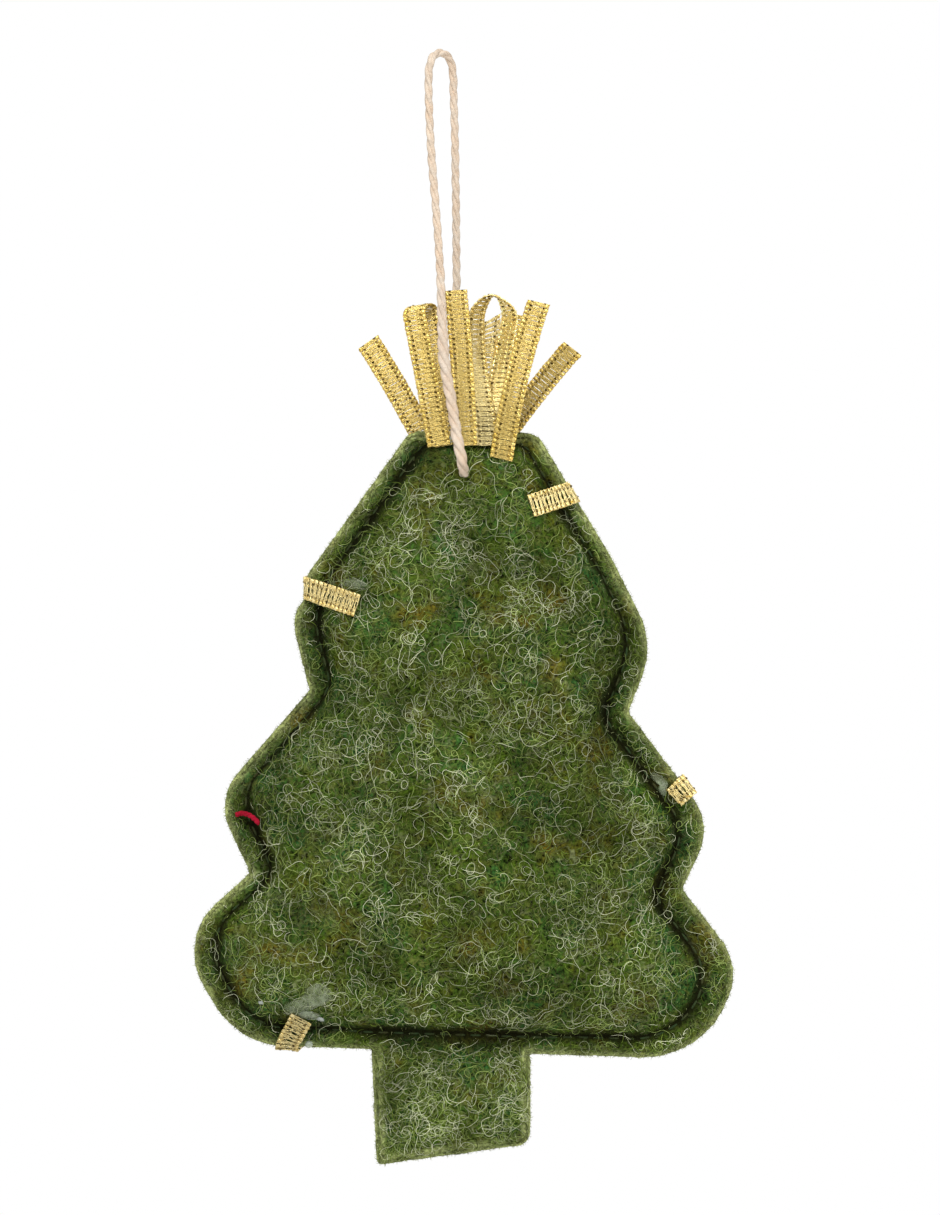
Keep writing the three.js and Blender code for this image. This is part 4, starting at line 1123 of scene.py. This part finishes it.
def buildRibbonTree():
    inputs = {
        "Length": 0.02,
        "Width": 0.0032,
        "Reach": 0.0046,
        "Loop": 0.0007,
        "Rung": 0.00014,
        "Wire": 0.00006,
        "Open": 0.3,
        "Stray": 0.00018,
        "Seed": 1,
    }
    net, given, result = growthTree("goldMesh", inputs)
    loops = net.calc("ROUND", net.calc("DIVIDE", given["Length"], given["Loop"]))
    line = net.line(net.times(loops, 8.0), End=net.combine(X=given["Length"]))
    half = net.times(given["Width"], 0.5)
    along = net.separate(net.position())["X"]
    angle = net.times(net.calc("DIVIDE", along, given["Loop"]), 2 * math.pi)
    index = net.put("GeometryNodeInputIndex")
    joined = net.tree.nodes.new("GeometryNodeJoinGeometry")
    for side in (-1.0, 1.0):
        # wires that chain along the edge
        for number, (share, swing, back, depth, phase, thickness, pale) in enumerate(chainWires):
            turn = net.plus(angle, phase + side)
            jitter = net.noiseAt(net.times(along, 900.0), number * 5.3 + side, given["Seed"])
            jitter = net.times(net.minus(jitter, 0.5), 0.00012)
            sine = net.calc("SINE", turn)
            x = net.calc("MULTIPLY_ADD", sine, back / 1000, along)
            y = net.calc("MULTIPLY_ADD", net.calc("COSINE", turn), swing / 1000, net.times(half, share))
            y = net.times(net.plus(y, jitter), side)
            z = net.calc("MULTIPLY_ADD", sine, depth / 1000, jitter)
            wire = net.moved(line, Position=net.combine(X=x, Y=y, Z=z))
            wire = net.stored(net.sweep(wire, given["Wire"], 4, thickness), "ground", pale)
            net.feed(joined.inputs[0], wire)
    for side in (-1.0, 1.0):
        # wound threads of the edge, and inside them dark beads whose colour is painted shade and dark
        # reflection
        for number, (share, shift, sizes, darkness) in enumerate(beadRows):
            seed = 20 * number + int(side)
            x = net.plus(net.plus(index, 0.5 + shift), net.random(-0.1, 0.1, seed + 2))
            y = net.times(half, net.plus(net.random(-0.03, 0.03, seed + 4), share))
            spot = net.combine(X=net.times(x, given["Loop"]), Y=net.times(y, side))
            spots = net.moved(net.put("GeometryNodeMeshLine", {"Count": loops}), Position=spot)
            spots = net.stored(spots, "dark", net.random(0.45 * darkness, darkness, seed + 6))
            feeds = {"Segments": 8, "Rings": 5, "Radius": 0.001}
            bead = net.put("GeometryNodeMeshUVSphere", feeds, out="Mesh")
            least, most = (tuple(np.multiply(sizes, spread).tolist()) for spread in beadSpread)
            size = net.random(least, most, seed + 8, kind="FLOAT_VECTOR")
            lean = net.combine(Z=net.random(-0.1, 0.5, seed + 10))
            beads = net.instances(spots, bead, Rotation=lean, Scale=size)
            net.feed(joined.inputs[0], net.put("GeometryNodeSetShadeSmooth", {0: beads}))

    # rungs across the middle, in bundles that open where the ribbon is stretched
    bundle = float(ribbon["rungs"])
    posts = net.put("GeometryNodeMeshLine", {"Count": net.times(loops, bundle)})
    number = net.calc("FLOOR", net.calc("DIVIDE", index, bundle))
    stretch = net.remap(net.noiseAt(net.times(number, 0.16), 4.4, given["Seed"]), (0.35, 0.6), (0.3, 1.0))
    stretch = net.times(stretch, net.random(0.55, 1.2, 40, number))
    gather = net.minus(1.0, net.times(stretch, given["Open"]))
    place = net.minus(net.calc("MODULO", index, bundle), (bundle - 1) / 2)
    place = net.times(place, net.times(given["Rung"], gather))
    post = net.calc("MULTIPLY_ADD", net.plus(number, 0.5), given["Loop"], place)
    posts = net.moved(posts, Position=net.combine(X=post))
    across = net.times(half, 0.94)
    bar = net.line(7, Start=net.combine(Y=net.times(across, -1.0)), End=net.combine(Y=across))
    rungs = net.instances(posts, bar)
    owner = net.node("GeometryNodeCurveOfPoint").outputs
    rung, spot = owner["Curve Index"], owner["Index in Curve"]
    shift = net.noiseAt(net.times(rung, 2.3), net.times(spot, 0.5), given["Seed"])
    shift = net.times(net.minus(shift, 0.5), given["Stray"])
    weave = net.calc("SINE", net.calc("MULTIPLY_ADD", spot, 1.9, net.times(rung, 3.14)))
    rungs = net.moved(rungs, Offset=net.combine(X=shift, Z=net.times(weave, 0.00005)))
    net.feed(joined.inputs[0], net.stored(net.sweep(rungs, given["Wire"], 4, 1.25), "ground", 1.0))

    # the flat weave is laid on the strip through the strip's map
    parts = net.separate(net.position())
    share = net.calc("DIVIDE", parts["X"], given["Length"])
    u = net.put("ShaderNodeClamp", {"Value": share, "Min": 0.001, "Max": 0.999})
    v = net.plus(net.calc("DIVIDE", parts["Y"], given["Reach"]), 0.5)

    def onStrip(value):
        feeds = {
            "Mesh": given["Geometry"],
            "Value": value,
            "UV Map": net.named("ribbonMap", "FLOAT_VECTOR"),
            "Sample UV": net.combine(X=u, Y=v),
        }
        return net.put("GeometryNodeSampleUVSurface", feeds, out="Value", data_type="FLOAT_VECTOR")

    raised = net.scaled(onStrip(net.put("GeometryNodeInputNormal")), parts["Z"])
    spot = net.vector("ADD", onStrip(net.position()), raised)
    return closeGrowth(net, given, result, net.moved(joined.outputs[0], Position=spot))


goldMesh = buildRibbonTree()
# painted shade and dark reflection: the near-black brown of the ribbon's dots and specks
paintedDotShade = (0.05, 0.028, 0.004, 1)


def buildGold(name, main, cool, warm, middle):
    finish, net, shader = newFinish(name, 0.3, Metallic=1.0)
    coords = net.coords()
    tone = net.group(toneDrift, Vector=coords, Scale=1500.0, Main=main, Cool=cool, Warm=warm)
    ground = net.painted("ground")
    tone = net.mix(net.times(ground, 0.75), tone, middle)
    # painted light and shade: parts of a ribbon made brighter or duller by its own rule
    tone = net.vector("MULTIPLY", tone, net.plus(net.painted("lightAndShade"), 1.0))
    # painted reflection: random dark specks standing in for the dark surroundings the foil mirrors, fewer
    # on the paler middle
    deep = net.remap(net.noise(coords, 3600.0), (0.38, 0.28), (0.0, 0.6))
    deep = net.times(deep, net.calc("MULTIPLY_ADD", ground, -0.6, 1.0))
    dark = net.calc("MAXIMUM", net.painted("dark"), deep)
    net.feed(shader["Base Color"], net.mix(dark, tone, paintedDotShade))
    grain = net.noise(coords, 2600.0)
    net.feed(shader["Roughness"], net.remap(grain, target=(0.15, 0.42)))
    addBump(net, shader, grain, 0.00008, 0.6)
    return finish


goldTones = ((0.55, 0.385, 0.09, 1), (0.78, 0.61, 0.22, 1), (0.39, 0.25, 0.03, 1), (0.62, 0.49, 0.18, 1))
# the second, paler copy of the gold is painted light: it brightens the inner strip and the right loop,
# which sit in shade among the tuft, and the garlands
litTones = ((0.73, 0.56, 0.21, 1), (0.93, 0.8, 0.42, 1), (0.45, 0.3, 0.05, 1), (0.8, 0.68, 0.34, 1))
goldFoil = buildGold("goldFoil", *goldTones)
litFoil = buildGold("litFoil", *litTones)


# A strip of quads with a map: centres and crosswise directions in mm
def weaveRibbon(name, centres, across, node, seed, opening, broad=1.0, foil=goldFoil, stray=0.18):
    centres = np.asarray(centres, float)
    across = unit(across)
    run = runAlong(centres)
    lanes = np.linspace(-0.5, 0.5, ribbon["lanes"])
    points = np.concatenate([centres + across * ribbon["reach"] * lane for lane in lanes])
    count = len(centres)
    faces = []
    for lane in range(len(lanes) - 1):
        for i in range(count - 1):
            a, b = lane * count + i, (lane + 1) * count + i
            faces.append((a, a + 1, b + 1, b))
    strip = makePiece(name, points, faces, None)
    layer = strip.data.uv_layers.new(name="ribbonMap")
    corners = np.array([v for f in faces for v in f])
    spots = np.stack([run[corners % count] / run[-1], lanes[corners // count] + 0.5], 1)
    layer.data.foreach_set("uv", spots.astype(np.float32).ravel())
    pitch = run[-1] / round(run[-1] / ribbon["loop"])  # whole loops fill the strip
    sizes = {
        "Length": run[-1],
        "Width": ribbon["width"] * broad,
        "Reach": ribbon["reach"],
        "Loop": pitch,
        "Rung": pitch / ribbon["rungs"],
        "Wire": ribbon["wire"],
        "Stray": stray,
    }
    values = {label: size / 1000 for label, size in sizes.items()}
    grow(strip, goldMesh, {**values, "Open": opening, "Seed": seed, "Material": foil})
    settle(strip, "tree", "gold_ribbon", node)
    print(strip.name, round(run[-1], 1), "mm,", len(strip.data.polygons), "faces")
    return strip


# Paints light and shade onto parts of a ribbon, brighter or duller by a rule on x, y and z in mm
def paintRibbonLight(strip, rule):
    spots = np.empty(len(strip.data.vertices) * 3)
    strip.data.vertices.foreach_get("co", spots)
    setAttribute(strip, "lightAndShade", rule(*(spots.reshape(-1, 3) * 1000 - holeAt).T))


tuft = {
    "frontFootY": -4.225,
    "rearFootY": 2.805,
    "frontFootZ": 3.9,
    "rearFootZ": 3.6,
    "frontLean": 0.045,
    "rearLean": -0.012,
    "layer": 0.55,
    "frontPull": (0.85, 0.18, 9.0),  # at the foot, more for each layer, height over which it fades
    "strips": [
        # name, node after tuft_strip_, row, layer, foot, tip, bow, slant of the cut tip, opening, breadth
        ("farLeftStrip", "far_left", "rear", 0, (-4.9, 3.6), (-13.75, 19), 0.2, 0.1, 0.1, 1.08),
        ("centreStrip", "centre", "front", 2, (0.25, 3.9), (-1.2, 26.1), 0.2, 0.0, 0.1, 1.0),
        ("innerStrip", "inner", "rear", 0, (3, 3.6), (3.8, 22.3), -0.3, 0.6, 0.36, 1.0),
        ("rightStrip", "right", "front", 2, (5.3, 2), (10.65, 24.4), -0.5, 0.0, 0.12, 1.02),
        ("rearRightStrip", "rear_right", "rear", 1, (4.1, 3.6), (7.9, 22.9), -0.3, 0.0, 0.15, 1.0),
        ("farRightStrip", "far_right", "rear", 2, (4.4, 3.7), (15.6, 18.1), -0.3, 0.0, 0.14, 1.0),
    ],
    "stripSteps": 25,
    "twist": (0.12, 2.2),  # how far a strip's face turns, and how fast along it
    # each leg of the left loop: foot, top, layer, spread to the rear
    "leftLegs": ((-3.5, -7.1, 1, 0), (-2.5, -5.2, 0, 2.0)),
    "leftLoop": {"z": 22.7, "slant": 0.15, "legSteps": 20, "foldSteps": 12, "opening": 0.14},
    "rightLoop": [
        # x, z, layer, set back
        (3.2, 3.9, 1, 0), (3, 7.5, 1, 0), (2.2, 12.5, 1, 0.85), (1.7, 19, 1, 1.7),
        (2, 23.3, 1, 1.7), (4.1, 25.5, 1, 1.7), (6.4, 23.2, 0, 1.7), (5.7, 18, 0, 1.7),
        (4.8, 12.5, 0, 1.2), (4.2, 7.5, 0, 0.1), (4, 3.9, 0, 0),
    ],
    "rightLoopTurn": 0.78,
    "rightLoopStep": 0.8,
    "rightLoopOpening": 0.36,
}


def tuftY(row, layer, z):
    if row == "front":
        least, more, fade = tuft["frontPull"]
        up = z - tuft["frontFootZ"]
        pull = (least + more * layer) * smoothstep(fade, 0, up)
        return tuft["frontFootY"] - layer * tuft["layer"] + tuft["frontLean"] * up + pull
    return tuft["rearFootY"] + layer * tuft["layer"] + tuft["rearLean"] * (z - tuft["rearFootZ"])


for number, strip in enumerate(tuft["strips"]):
    name, node, row, layer, foot, tip, bow, slant, opening, broad = strip
    foot, tip = np.array(foot), np.array(tip)
    side = unit(np.array((-(foot - tip)[1], (foot - tip)[0])))
    share = np.linspace(0, 1, tuft["stripSteps"])[:, None]
    flat = foot + (tip - foot) * share + side * 4 * bow * share * (1 - share)
    centres = setAt(flat, tuftY(row, layer, flat[:, 1]))
    across = np.repeat([[side[0], 0, side[1]]], len(centres), 0)
    rise = unit(np.array((tip - foot)[[0, 0, 1]]) * (1, 0, 1))
    across = across + rise * slant * smoothstep(0.7, 1, share)
    across[:, 1] = tuft["twist"][0] * np.sin(share[:, 0] * tuft["twist"][1] + number)
    # the inner strip takes the paler gold as painted light
    foil = litFoil if name == "innerStrip" else goldFoil
    weaveRibbon(name, centres, across, "tuft_strip_" + node, seeds["strips"] + number, opening, broad, foil)

loop = tuft["leftLoop"]
legShare = np.linspace(0, 1, loop["legSteps"])
legs = []
for foot, top, layer, spread in tuft["leftLegs"]:
    z = tuft["frontFootZ"] + (loop["z"] - tuft["frontFootZ"]) * legShare
    x = foot + (top - foot) * legShare
    legs.append(np.stack([x, tuftY("front", layer, z) + spread * legShare**1.5, z], 1))
bend = np.linspace(0, np.pi, loop["foldSteps"])[1:-1, None]
fold = legs[0][-1] + (legs[1][-1] - legs[0][-1]) * (1 - np.cos(bend)) / 2
fold[:, 2] += (legs[1][-1][1] - legs[0][-1][1]) / 2 * np.sin(bend[:, 0])
centres = np.concatenate([legs[0], fold, legs[1][::-1]])
across = np.repeat([[1, 0, loop["slant"]]], len(centres), 0)
weaveRibbon("leftLoop", centres, across, "tuft_loop_left", seeds["leftLoop"], loop["opening"])

route = [(x, tuftY("front", layer, z) + back, z) for x, z, layer, back in tuft["rightLoop"]]
centres, _ = smoothRoute(route, tuft["rightLoopStep"])
share = np.linspace(0, 1, len(centres))
turn = tuft["rightLoopTurn"] * np.sin(np.pi * share) ** 1.5
flat = np.cos(turn) * (1 - 2 * smoothstep(0.4, 0.62, share))
across = np.stack([flat, np.sin(turn), 0 * flat], 1)
# the right loop takes the paler gold as painted light
looks = {"seed": seeds["rightLoop"], "opening": tuft["rightLoopOpening"], "foil": litFoil}
rightLoop = weaveRibbon("rightLoop", centres, across, "tuft_loop_right", **looks)


# painted light on the loop's rear leg higher up, and painted shade low on the loop towards its foot and,
# slightly, all over
def loopLightAndShade(x, y, z):
    rearLeg = 0.38 * smoothstep(3.4, 4.4, x) * smoothstep(8, 13, z)
    return rearLeg - 0.24 * smoothstep(11, 6, z) - 0.08


# painted shade on the lower garland's left end, which faces down
def lowerEndShade(x, y, z):
    return -0.23 * smoothstep(-10, -18, x) * smoothstep(1.5, -1, y)


paintRibbonLight(rightLoop, loopLightAndShade)

# Garlands: an end on the front, round the edge, over the rear and round to the other end
garland = {
    "seat": 0.35,
    "endSteps": 12,
    "turnSteps": 4,
    "rearSteps": 46,
    "mesh": {"opening": 0.46, "stray": 0.75},
    "rearSpan": (0.02, 0.98),  # from edge to edge
    "frontSpan": (1, 0.05),  # from the cut end to the edge
    "squared": (0.35, 0.05),  # the part that turns square to the edge
    "turn": (0.5, 0.9),  # depth past the front, and where the turn ends
    # each end: edge, where along it, heading in degrees, reach over the front, slack at the edge
    "upperGarland": ("garland_upper", ("left", -16.3, -18.4, 8.0, 0.1), ("right", -2.7, -161.6, 6.3, 0.3)),
    "lowerGarland": ("garland_lower", ("bottom", -25.3, 62, 4.7, 0.5), ("right", -44.8, -135, 2.2, 1.0)),
}


def edgePoint(where, value):
    key = 0 if where == "bottom" else 1
    best = None
    for p, q in zip(cutLoop, np.roll(cutLoop, -1, 0)):
        if (p[key] - value) * (q[key] - value) > 0 or p[key] == q[key]:
            continue
        spot = p + (q - p) * (value - p[key]) / (q[key] - p[key])
        fits = {"left": spot[0] < 0, "right": spot[0] > 0, "bottom": spot[1] < -75}[where]
        if fits:
            way = unit(q - p)
            best = spot, np.array((way[1], -way[0]))
    return best


# The depth at which a taut band of some width clears the felt
def coverY(spots, side, width):
    along = unit(spots[-1] - spots[0])
    half = np.array((-along[1], along[0])) * width / 2
    rows = []
    for k in (-1, -0.5, 0, 0.5, 1):
        y = placeAt(readLayout(spots + half * k), -side * faceDepth)[:, 1] * side
        rows.append(np.where(insideOf(cutLoop, spots + half * k), y, -np.inf))
    heights = np.max(rows, 0)
    taut = heights.copy()
    for i in range(len(heights)):
        for a in range(i):
            for b in range(i + 1, len(heights)):
                line = heights[a] + (heights[b] - heights[a]) * (i - a) / (b - a)
                taut[i] = max(taut[i], line)
    return side * taut


def garlandEnd(where, value, degrees, reach, slack):
    spot, outward = edgePoint(where, value)
    inward = np.array((math.cos(math.radians(degrees)), math.sin(math.radians(degrees))))
    crosswise = np.array((-inward[1], inward[0]))
    share = np.linspace(*garland["frontSpan"], garland["endSteps"])[:, None]
    flat = spot + inward * reach * share
    y = coverY(flat, -1, ribbon["width"]) - garland["seat"]
    edgeWay = np.array((-outward[1], outward[0]))
    edgeWay = edgeWay * math.copysign(1, edgeWay @ crosswise)
    blend = smoothstep(*garland["squared"], share)
    flatAcross = crosswise * (1 - blend) + edgeWay * blend
    steps = garland["turnSteps"]
    wrap = np.repeat([spot + outward * slack], steps, 0)
    past, last = garland["turn"]
    turnCentres = setAt(wrap, np.linspace(y[-1] + past, last, steps))
    turnAcross = np.repeat([[edgeWay[0], 0, edgeWay[1]]], steps, 0)
    centres = np.concatenate([setAt(flat, y), turnCentres])
    return spot, centres, np.concatenate([setAt(flatAcross, 0 * y), turnAcross])


for number, name in enumerate(("upperGarland", "lowerGarland")):
    node, *ends = garland[name]
    startSpot, startRun, startAcross = garlandEnd(*ends[0])
    endSpot, endRun, endAcross = garlandEnd(*ends[1])
    share = np.linspace(*garland["rearSpan"], garland["rearSteps"])[:, None]
    flat = startSpot + (endSpot - startSpot) * share
    middle = setAt(flat, coverY(flat, 1, ribbon["width"]) + garland["seat"])
    way = unit(endSpot - startSpot)
    middleAcross = np.repeat([[-way[1], 0, way[0]]], len(middle), 0)
    centres = np.concatenate([startRun, middle, endRun[::-1]])
    across = np.concatenate([startAcross, middleAcross, endAcross[::-1]])
    for i in range(1, len(across)):
        if across[i] @ across[i - 1] < 0:
            across[i:] *= -1
    for _ in range(2):  # soften the turns at the edge
        across[1:-1] = (across[:-2] + 2 * across[1:-1] + across[2:]) / 4
    # the garlands take the paler gold as painted light
    looks = {"seed": seeds["garlands"] + number, "foil": litFoil, **garland["mesh"]}
    woven = weaveRibbon(name, centres, across, node, **looks)
    if name == "lowerGarland":
        paintRibbonLight(woven, lowerEndShade)


# Seam stitches in both grooves
def buildStitchTree():
    net, given, result = growthTree("seamStitches", {"Stitch": 0.0022, "Radius": 0.00022})
    run = net.put("GeometryNodeMeshToCurve", {0: given["Geometry"]})
    feeds = {"Curve": run, "Length": given["Stitch"]}
    spots = net.node("GeometryNodeCurveToPoints", feeds, mode="LENGTH").outputs
    reach = net.times(given["Stitch"], 0.46)
    feeds = {
        "Resolution": 6,
        "Start": net.combine(Z=net.times(reach, -1.0)),
        "Middle": (0, 0, 0),
        "End": net.combine(Z=reach),
    }
    stitch = net.put("GeometryNodeCurveQuadraticBezier", feeds)
    taper = net.remap(net.toEnd(), (0.0, 0.3), (0.45, 1.0))
    tube = net.sweep(stitch, given["Radius"], 6, taper)
    stitches = net.instances(spots["Points"], tube, Rotation=spots["Rotation"])
    return closeGrowth(net, given, result, stitches)


seamStitches = buildStitchTree()
threadTones = ((0.035, 0.05, 0.016, 1), (0.03, 0.06, 0.02, 1), (0.06, 0.06, 0.02, 1))
darkThread = buildTwistFinish("darkThread", *threadTones, 400.0)
stitchLook = {"out": 0.45, "sink": 0.14}
stitchSizes = {"Stitch": 0.0022, "Radius": 0.00022, "Material": darkThread}
stitchFacts = readLayout(seamLoop + outwardOf(seamLoop) * stitchLook["out"])
for name, side, node in (("needleStitches", -1, "needle_thread"), ("bobbinStitches", 1, "bobbin_thread")):
    spots = placeAt(stitchFacts, -side * faceDepth)
    spots[:, 1] -= side * stitchLook["sink"]
    edges = [(i, (i + 1) % len(spots)) for i in range(len(spots))]
    stitches = grow(makePiece(name, spots, [], None, edges=edges), seamStitches, stitchSizes)
    settle(stitches, "tree", "green_thread", node)

# Red stitch caught on the left margin
redStitch = {
    "route": [(-32.5, -48.6), (-31.6, -48.4), (-30.7, -48.6), (-29.9, -49.1), (-29.2, -49.8)],
    "width": 0.6,
    "seat": 0.42,
    "step": 0.12,
    "twist": {"diameter": 0.8, "plies": 2, "lay": 1.3, "sides": 7, "seed": seeds["redStitch"]},
}
redTones = ((0.38, 0.004, 0.022, 1), (0.46, 0.006, 0.032, 1), (0.27, 0.003, 0.014, 1))
redThread = buildTwistFinish("redThread", *redTones, 500.0)
redFlat = np.array(redStitch["route"])
redRoute = setAt(redFlat, coverY(redFlat, -1, redStitch["width"]) - redStitch["seat"])
redPlies = twistedPlies(*smoothRoute(redRoute, redStitch["step"]), **redStitch["twist"])
settle(makePiece("redStitch", *redPlies, redThread), "tree", "red_thread", "red_stitch")

# Dried hot glue: thin ragged films and crumbs laid on the felt
glueLook = {
    "drift": {
        "Scale": 520.0,
        "Main": (0.17, 0.23, 0.085, 1),
        "Cool": (0.3, 0.36, 0.2, 1),
        "Warm": (0.13, 0.16, 0.04, 1),
    },
    "lines": (0.5, 0.54, 0.38, 1),
    "cloud": (0.62, 0.66, 0.64, 1),
}


def buildGlue():
    finish, net, shader = newFinish("driedGlue", 0.35, **{"Coat Weight": 0.5, "Coat Roughness": 0.25})
    coords = net.coords()
    tone = net.group(toneDrift, Vector=coords, **glueLook["drift"])
    lines = net.group(fibreTangle, Vector=coords, Scale=800.0, Width=0.05, Shift=9.0)
    tone = net.mix(net.times(lines, 0.6), tone, glueLook["lines"])
    net.feed(shader["Base Color"], net.mix(net.painted("cloud"), tone, glueLook["cloud"]))
    grain = net.noise(coords, 900.0, 3.0)
    patchy = net.remap(grain, (0.35, 0.62), (0.35, 0.9))
    net.feed(shader["Alpha"], net.times(patchy, net.painted("film")))
    addBump(net, shader, grain, 0.0003, 0.6)
    return finish


driedGlue = buildGlue()
glueDabs = {
    # node and name: dabs, each with its lobes as x, z, half width, half height and turn in degrees,
    # then its rise in mm, cloudiness and cover
    ("glue_upper_left", "glueUpperLeft"): [([(-15.5, -15.7, 2.1, 0.8, -12)], 0.12, 0.1, 0.45)],
    ("glue_right_mid", "glueRightMid"): [
        ([(28.3, -43.3, 1.7, 0.9, -25), (28.6, -45.0, 0.8, 0.9, 0)], 0.2, 0.12, 0.9),
    ],
    ("glue_bottom_left", "glueBottomLeft"): [
        ([(-20.9, -74.3, 2.4, 1.7, 20), (-23.4, -75.8, 2.6, 1.0, 12)], 0.3, 0.05, 0.85),
        ([(-22.2, -77.1, 1.8, 0.7, -8)], 0.2, 0.2, 0.8),
        ([(-20.4, -77.7, 0.6, 0.35, -15)], 0.35, 0.85, 1.0),
        ([(-28.9, -75.3, 0.45, 0.3, 0)], 0.3, 0.8, 1.0),
    ],
}
dab = {"sides": 44, "rings": 8, "probe": (6, 240), "ragged": 0.12, "least": 0.2, "lift": 0.14, "sink": 0.1}
drop = {"centre": (-22.1, -2.3, -81.35), "half": (0.55, 0.5, 0.52), "cloud": 0.4}
dropBall = {"rows": 12, "sides": 20, "lumps": 0.1}


def fanFaces(sides):
    return [(0, 1 + k, 1 + (k + 1) % sides) for k in range(sides)]


def gluePiece(name, node, points, faces, film, cloud):
    piece = makePiece(name, points, faces, driedGlue)
    setAttribute(piece, "film", film)
    setAttribute(piece, "cloud", cloud)
    settle(piece, "tree", "hot_glue", node)


def glueDab(lobes, rise, wobble):
    count = dab["sides"]
    angles = np.linspace(0, 2 * np.pi, count, endpoint=False)
    ways = np.stack([np.cos(angles), np.sin(angles)], 1)
    centre = np.mean([l[:2] for l in lobes], 0)
    probe = np.linspace(0, *dab["probe"])
    ragged = 0
    for k in range(3, 12):
        ragged = ragged + wobble.normal() * np.cos(k * angles + wobble.uniform(0, 6.3)) / k**0.7
    radii = []
    for way in ways:
        spots = centre + probe[:, None] * way
        covered = np.zeros(len(probe), bool)
        for x, z, w, h, turn in lobes:
            c, s = math.cos(math.radians(turn)), math.sin(math.radians(turn))
            d = spots - (x, z)
            covered |= ((d[:, 0] * c + d[:, 1] * s) / w) ** 2 + ((d[:, 1] * c - d[:, 0] * s) / h) ** 2 < 1
        radii.append(probe[covered].max() if covered.any() else dab["least"])
    radii = np.array(radii) * (1 + dab["ragged"] * ragged)
    shares = np.linspace(0, 1, dab["rings"] + 1)[1:]
    flat = np.concatenate([[centre], *(centre + ways * (radii * share)[:, None] for share in shares)])
    bed = placeAt(readLayout(flat), faceDepth)
    reach = np.concatenate([[0], np.repeat(shares, count)])
    top = bed.copy()
    top[:, 1] -= dab["lift"] + rise * (1 - reach**2.5) * (1 + 0.4 * lumpAt(flat * 2.5))
    bed[:, 1] += dab["sink"]
    faces = fanFaces(count) + ringFaces(len(shares), count, 1, True)
    total = len(flat)
    faces += [tuple(i + total for i in f[::-1]) for f in faces]
    rim = [1 + (len(shares) - 1) * count + k for k in range(count)]
    faces += [(b, a, a + total, b + total) for a, b in zip(rim, rim[1:] + rim[:1])]
    film = np.concatenate([1 - 0.55 * reach**3, 0.6 + 0 * reach])
    return np.concatenate([top, bed]), faces, film


for number, ((node, name), dabs) in enumerate(glueDabs.items()):
    wobble = np.random.default_rng(seeds["glue"] + number)
    parts, films, clouds = [], [], []
    for lobes, rise, cloud, cover in dabs:
        points, faces, film = glueDab(lobes, rise, wobble)
        parts.append((points, faces))
        films.append(film * cover)
        clouds.append(np.full(len(film), cloud))
    gluePiece(name, node, *joinParts(parts), np.concatenate(films), np.concatenate(clouds))


# A bead of glue that hangs from the lower garland's end
def glueDrop(rows, sides, lumps):
    tilts = np.linspace(0, np.pi, rows + 1)[1:-1]
    turns = np.linspace(0, 2 * np.pi, sides, endpoint=False)
    tilt, turn = np.meshgrid(tilts, turns, indexing="ij")
    ball = np.stack([np.sin(tilt) * np.cos(turn), np.sin(tilt) * np.sin(turn), np.cos(tilt)], -1)
    ball = np.concatenate([[(0, 0, 1)], ball.reshape(-1, 3), [(0, 0, -1)]])
    ball *= 1 + lumps * lumpAt(ball[:, [0, 2]] * 1.7)[:, None]
    last = len(ball) - 1
    faces = fanFaces(sides) + ringFaces(rows - 1, sides, 1, True)
    faces += [(last, last - sides + (k + 1) % sides, last - sides + k) for k in range(sides)]
    return ball, faces


ball, faces = glueDrop(**dropBall)
clouds = np.full(len(ball), drop["cloud"])
dropPoints = ball * drop["half"] + drop["centre"]
gluePiece("glueBottomBead", "glue_bottom_bead", dropPoints, faces, np.ones(len(ball)), clouds)

# Glue under the ribbon feet, thick where it holds one and a thin strand between them
glueRuns = {
    # node and name: the depth it stays behind, then stations of x, y of the middle, half depth, half height
    ("tuft_glue_front", "tuftGlueFront"): (-3.45, [
        (-4.8, -2.2, 0.6, 0.5), (-3, -2.4, 1.2, 0.9), (0, -2.4, 1.25, 0.85),
        (3.2, -2.4, 1.2, 0.9), (5.4, -2.5, 1.3, 0.9), (6.7, -2.3, 0.7, 0.5),
    ]),
    ("tuft_glue_rear", "tuftGlueRear"): (2.95, [
        (-6.3, 1.8, 0.4, 0.4), (-4.8, 2.1, 0.85, 0.85), (-3, 1.75, 0.4, 0.45), (-1, 1.62, 0.26, 0.28),
        (1, 1.7, 0.35, 0.4), (3, 2.1, 0.85, 0.9), (4.8, 2.2, 0.9, 0.9), (6, 1.8, 0.4, 0.4),
    ]),
}
strand = {"z": 4.85, "rings": 60, "sides": 18, "lumps": 0.09, "cloud": 0.5}

for (node, name), (limit, stations) in glueRuns.items():
    rings, sides = strand["rings"], strand["sides"]
    stations = np.array(stations)
    spots = np.linspace(stations[0, 0], stations[-1, 0], rings)
    middle, deep, tall = (np.interp(spots, stations[:, 0], stations[:, k]) for k in (1, 2, 3))
    ends = np.sqrt(np.clip(1 - ((spots - spots.mean()) / (np.ptp(spots) / 2 + 0.02)) ** 8, 0, 1))
    turn = np.linspace(0, 2 * np.pi, sides, endpoint=False)
    grid = np.stack(np.meshgrid(spots, turn, indexing="ij"), -1).reshape(-1, 2)
    lumps = 1 + strand["lumps"] * lumpAt(grid * (1.4, 1)).reshape(rings, sides)
    y = middle[:, None] + (deep * ends)[:, None] * np.cos(turn) * lumps
    y = np.maximum(y, limit) if limit < 0 else np.minimum(y, limit)
    height = strand["z"] + (tall * ends)[:, None] * np.sin(turn) * lumps
    points = np.stack([np.repeat(spots[:, None], sides, 1), y, height], -1).reshape(-1, 3)
    clouds = np.full(len(points), strand["cloud"])
    gluePiece(name, node, points, tubeFaces(rings, sides), np.ones(len(points)), clouds)
print("glue, stitches and garlands placed")
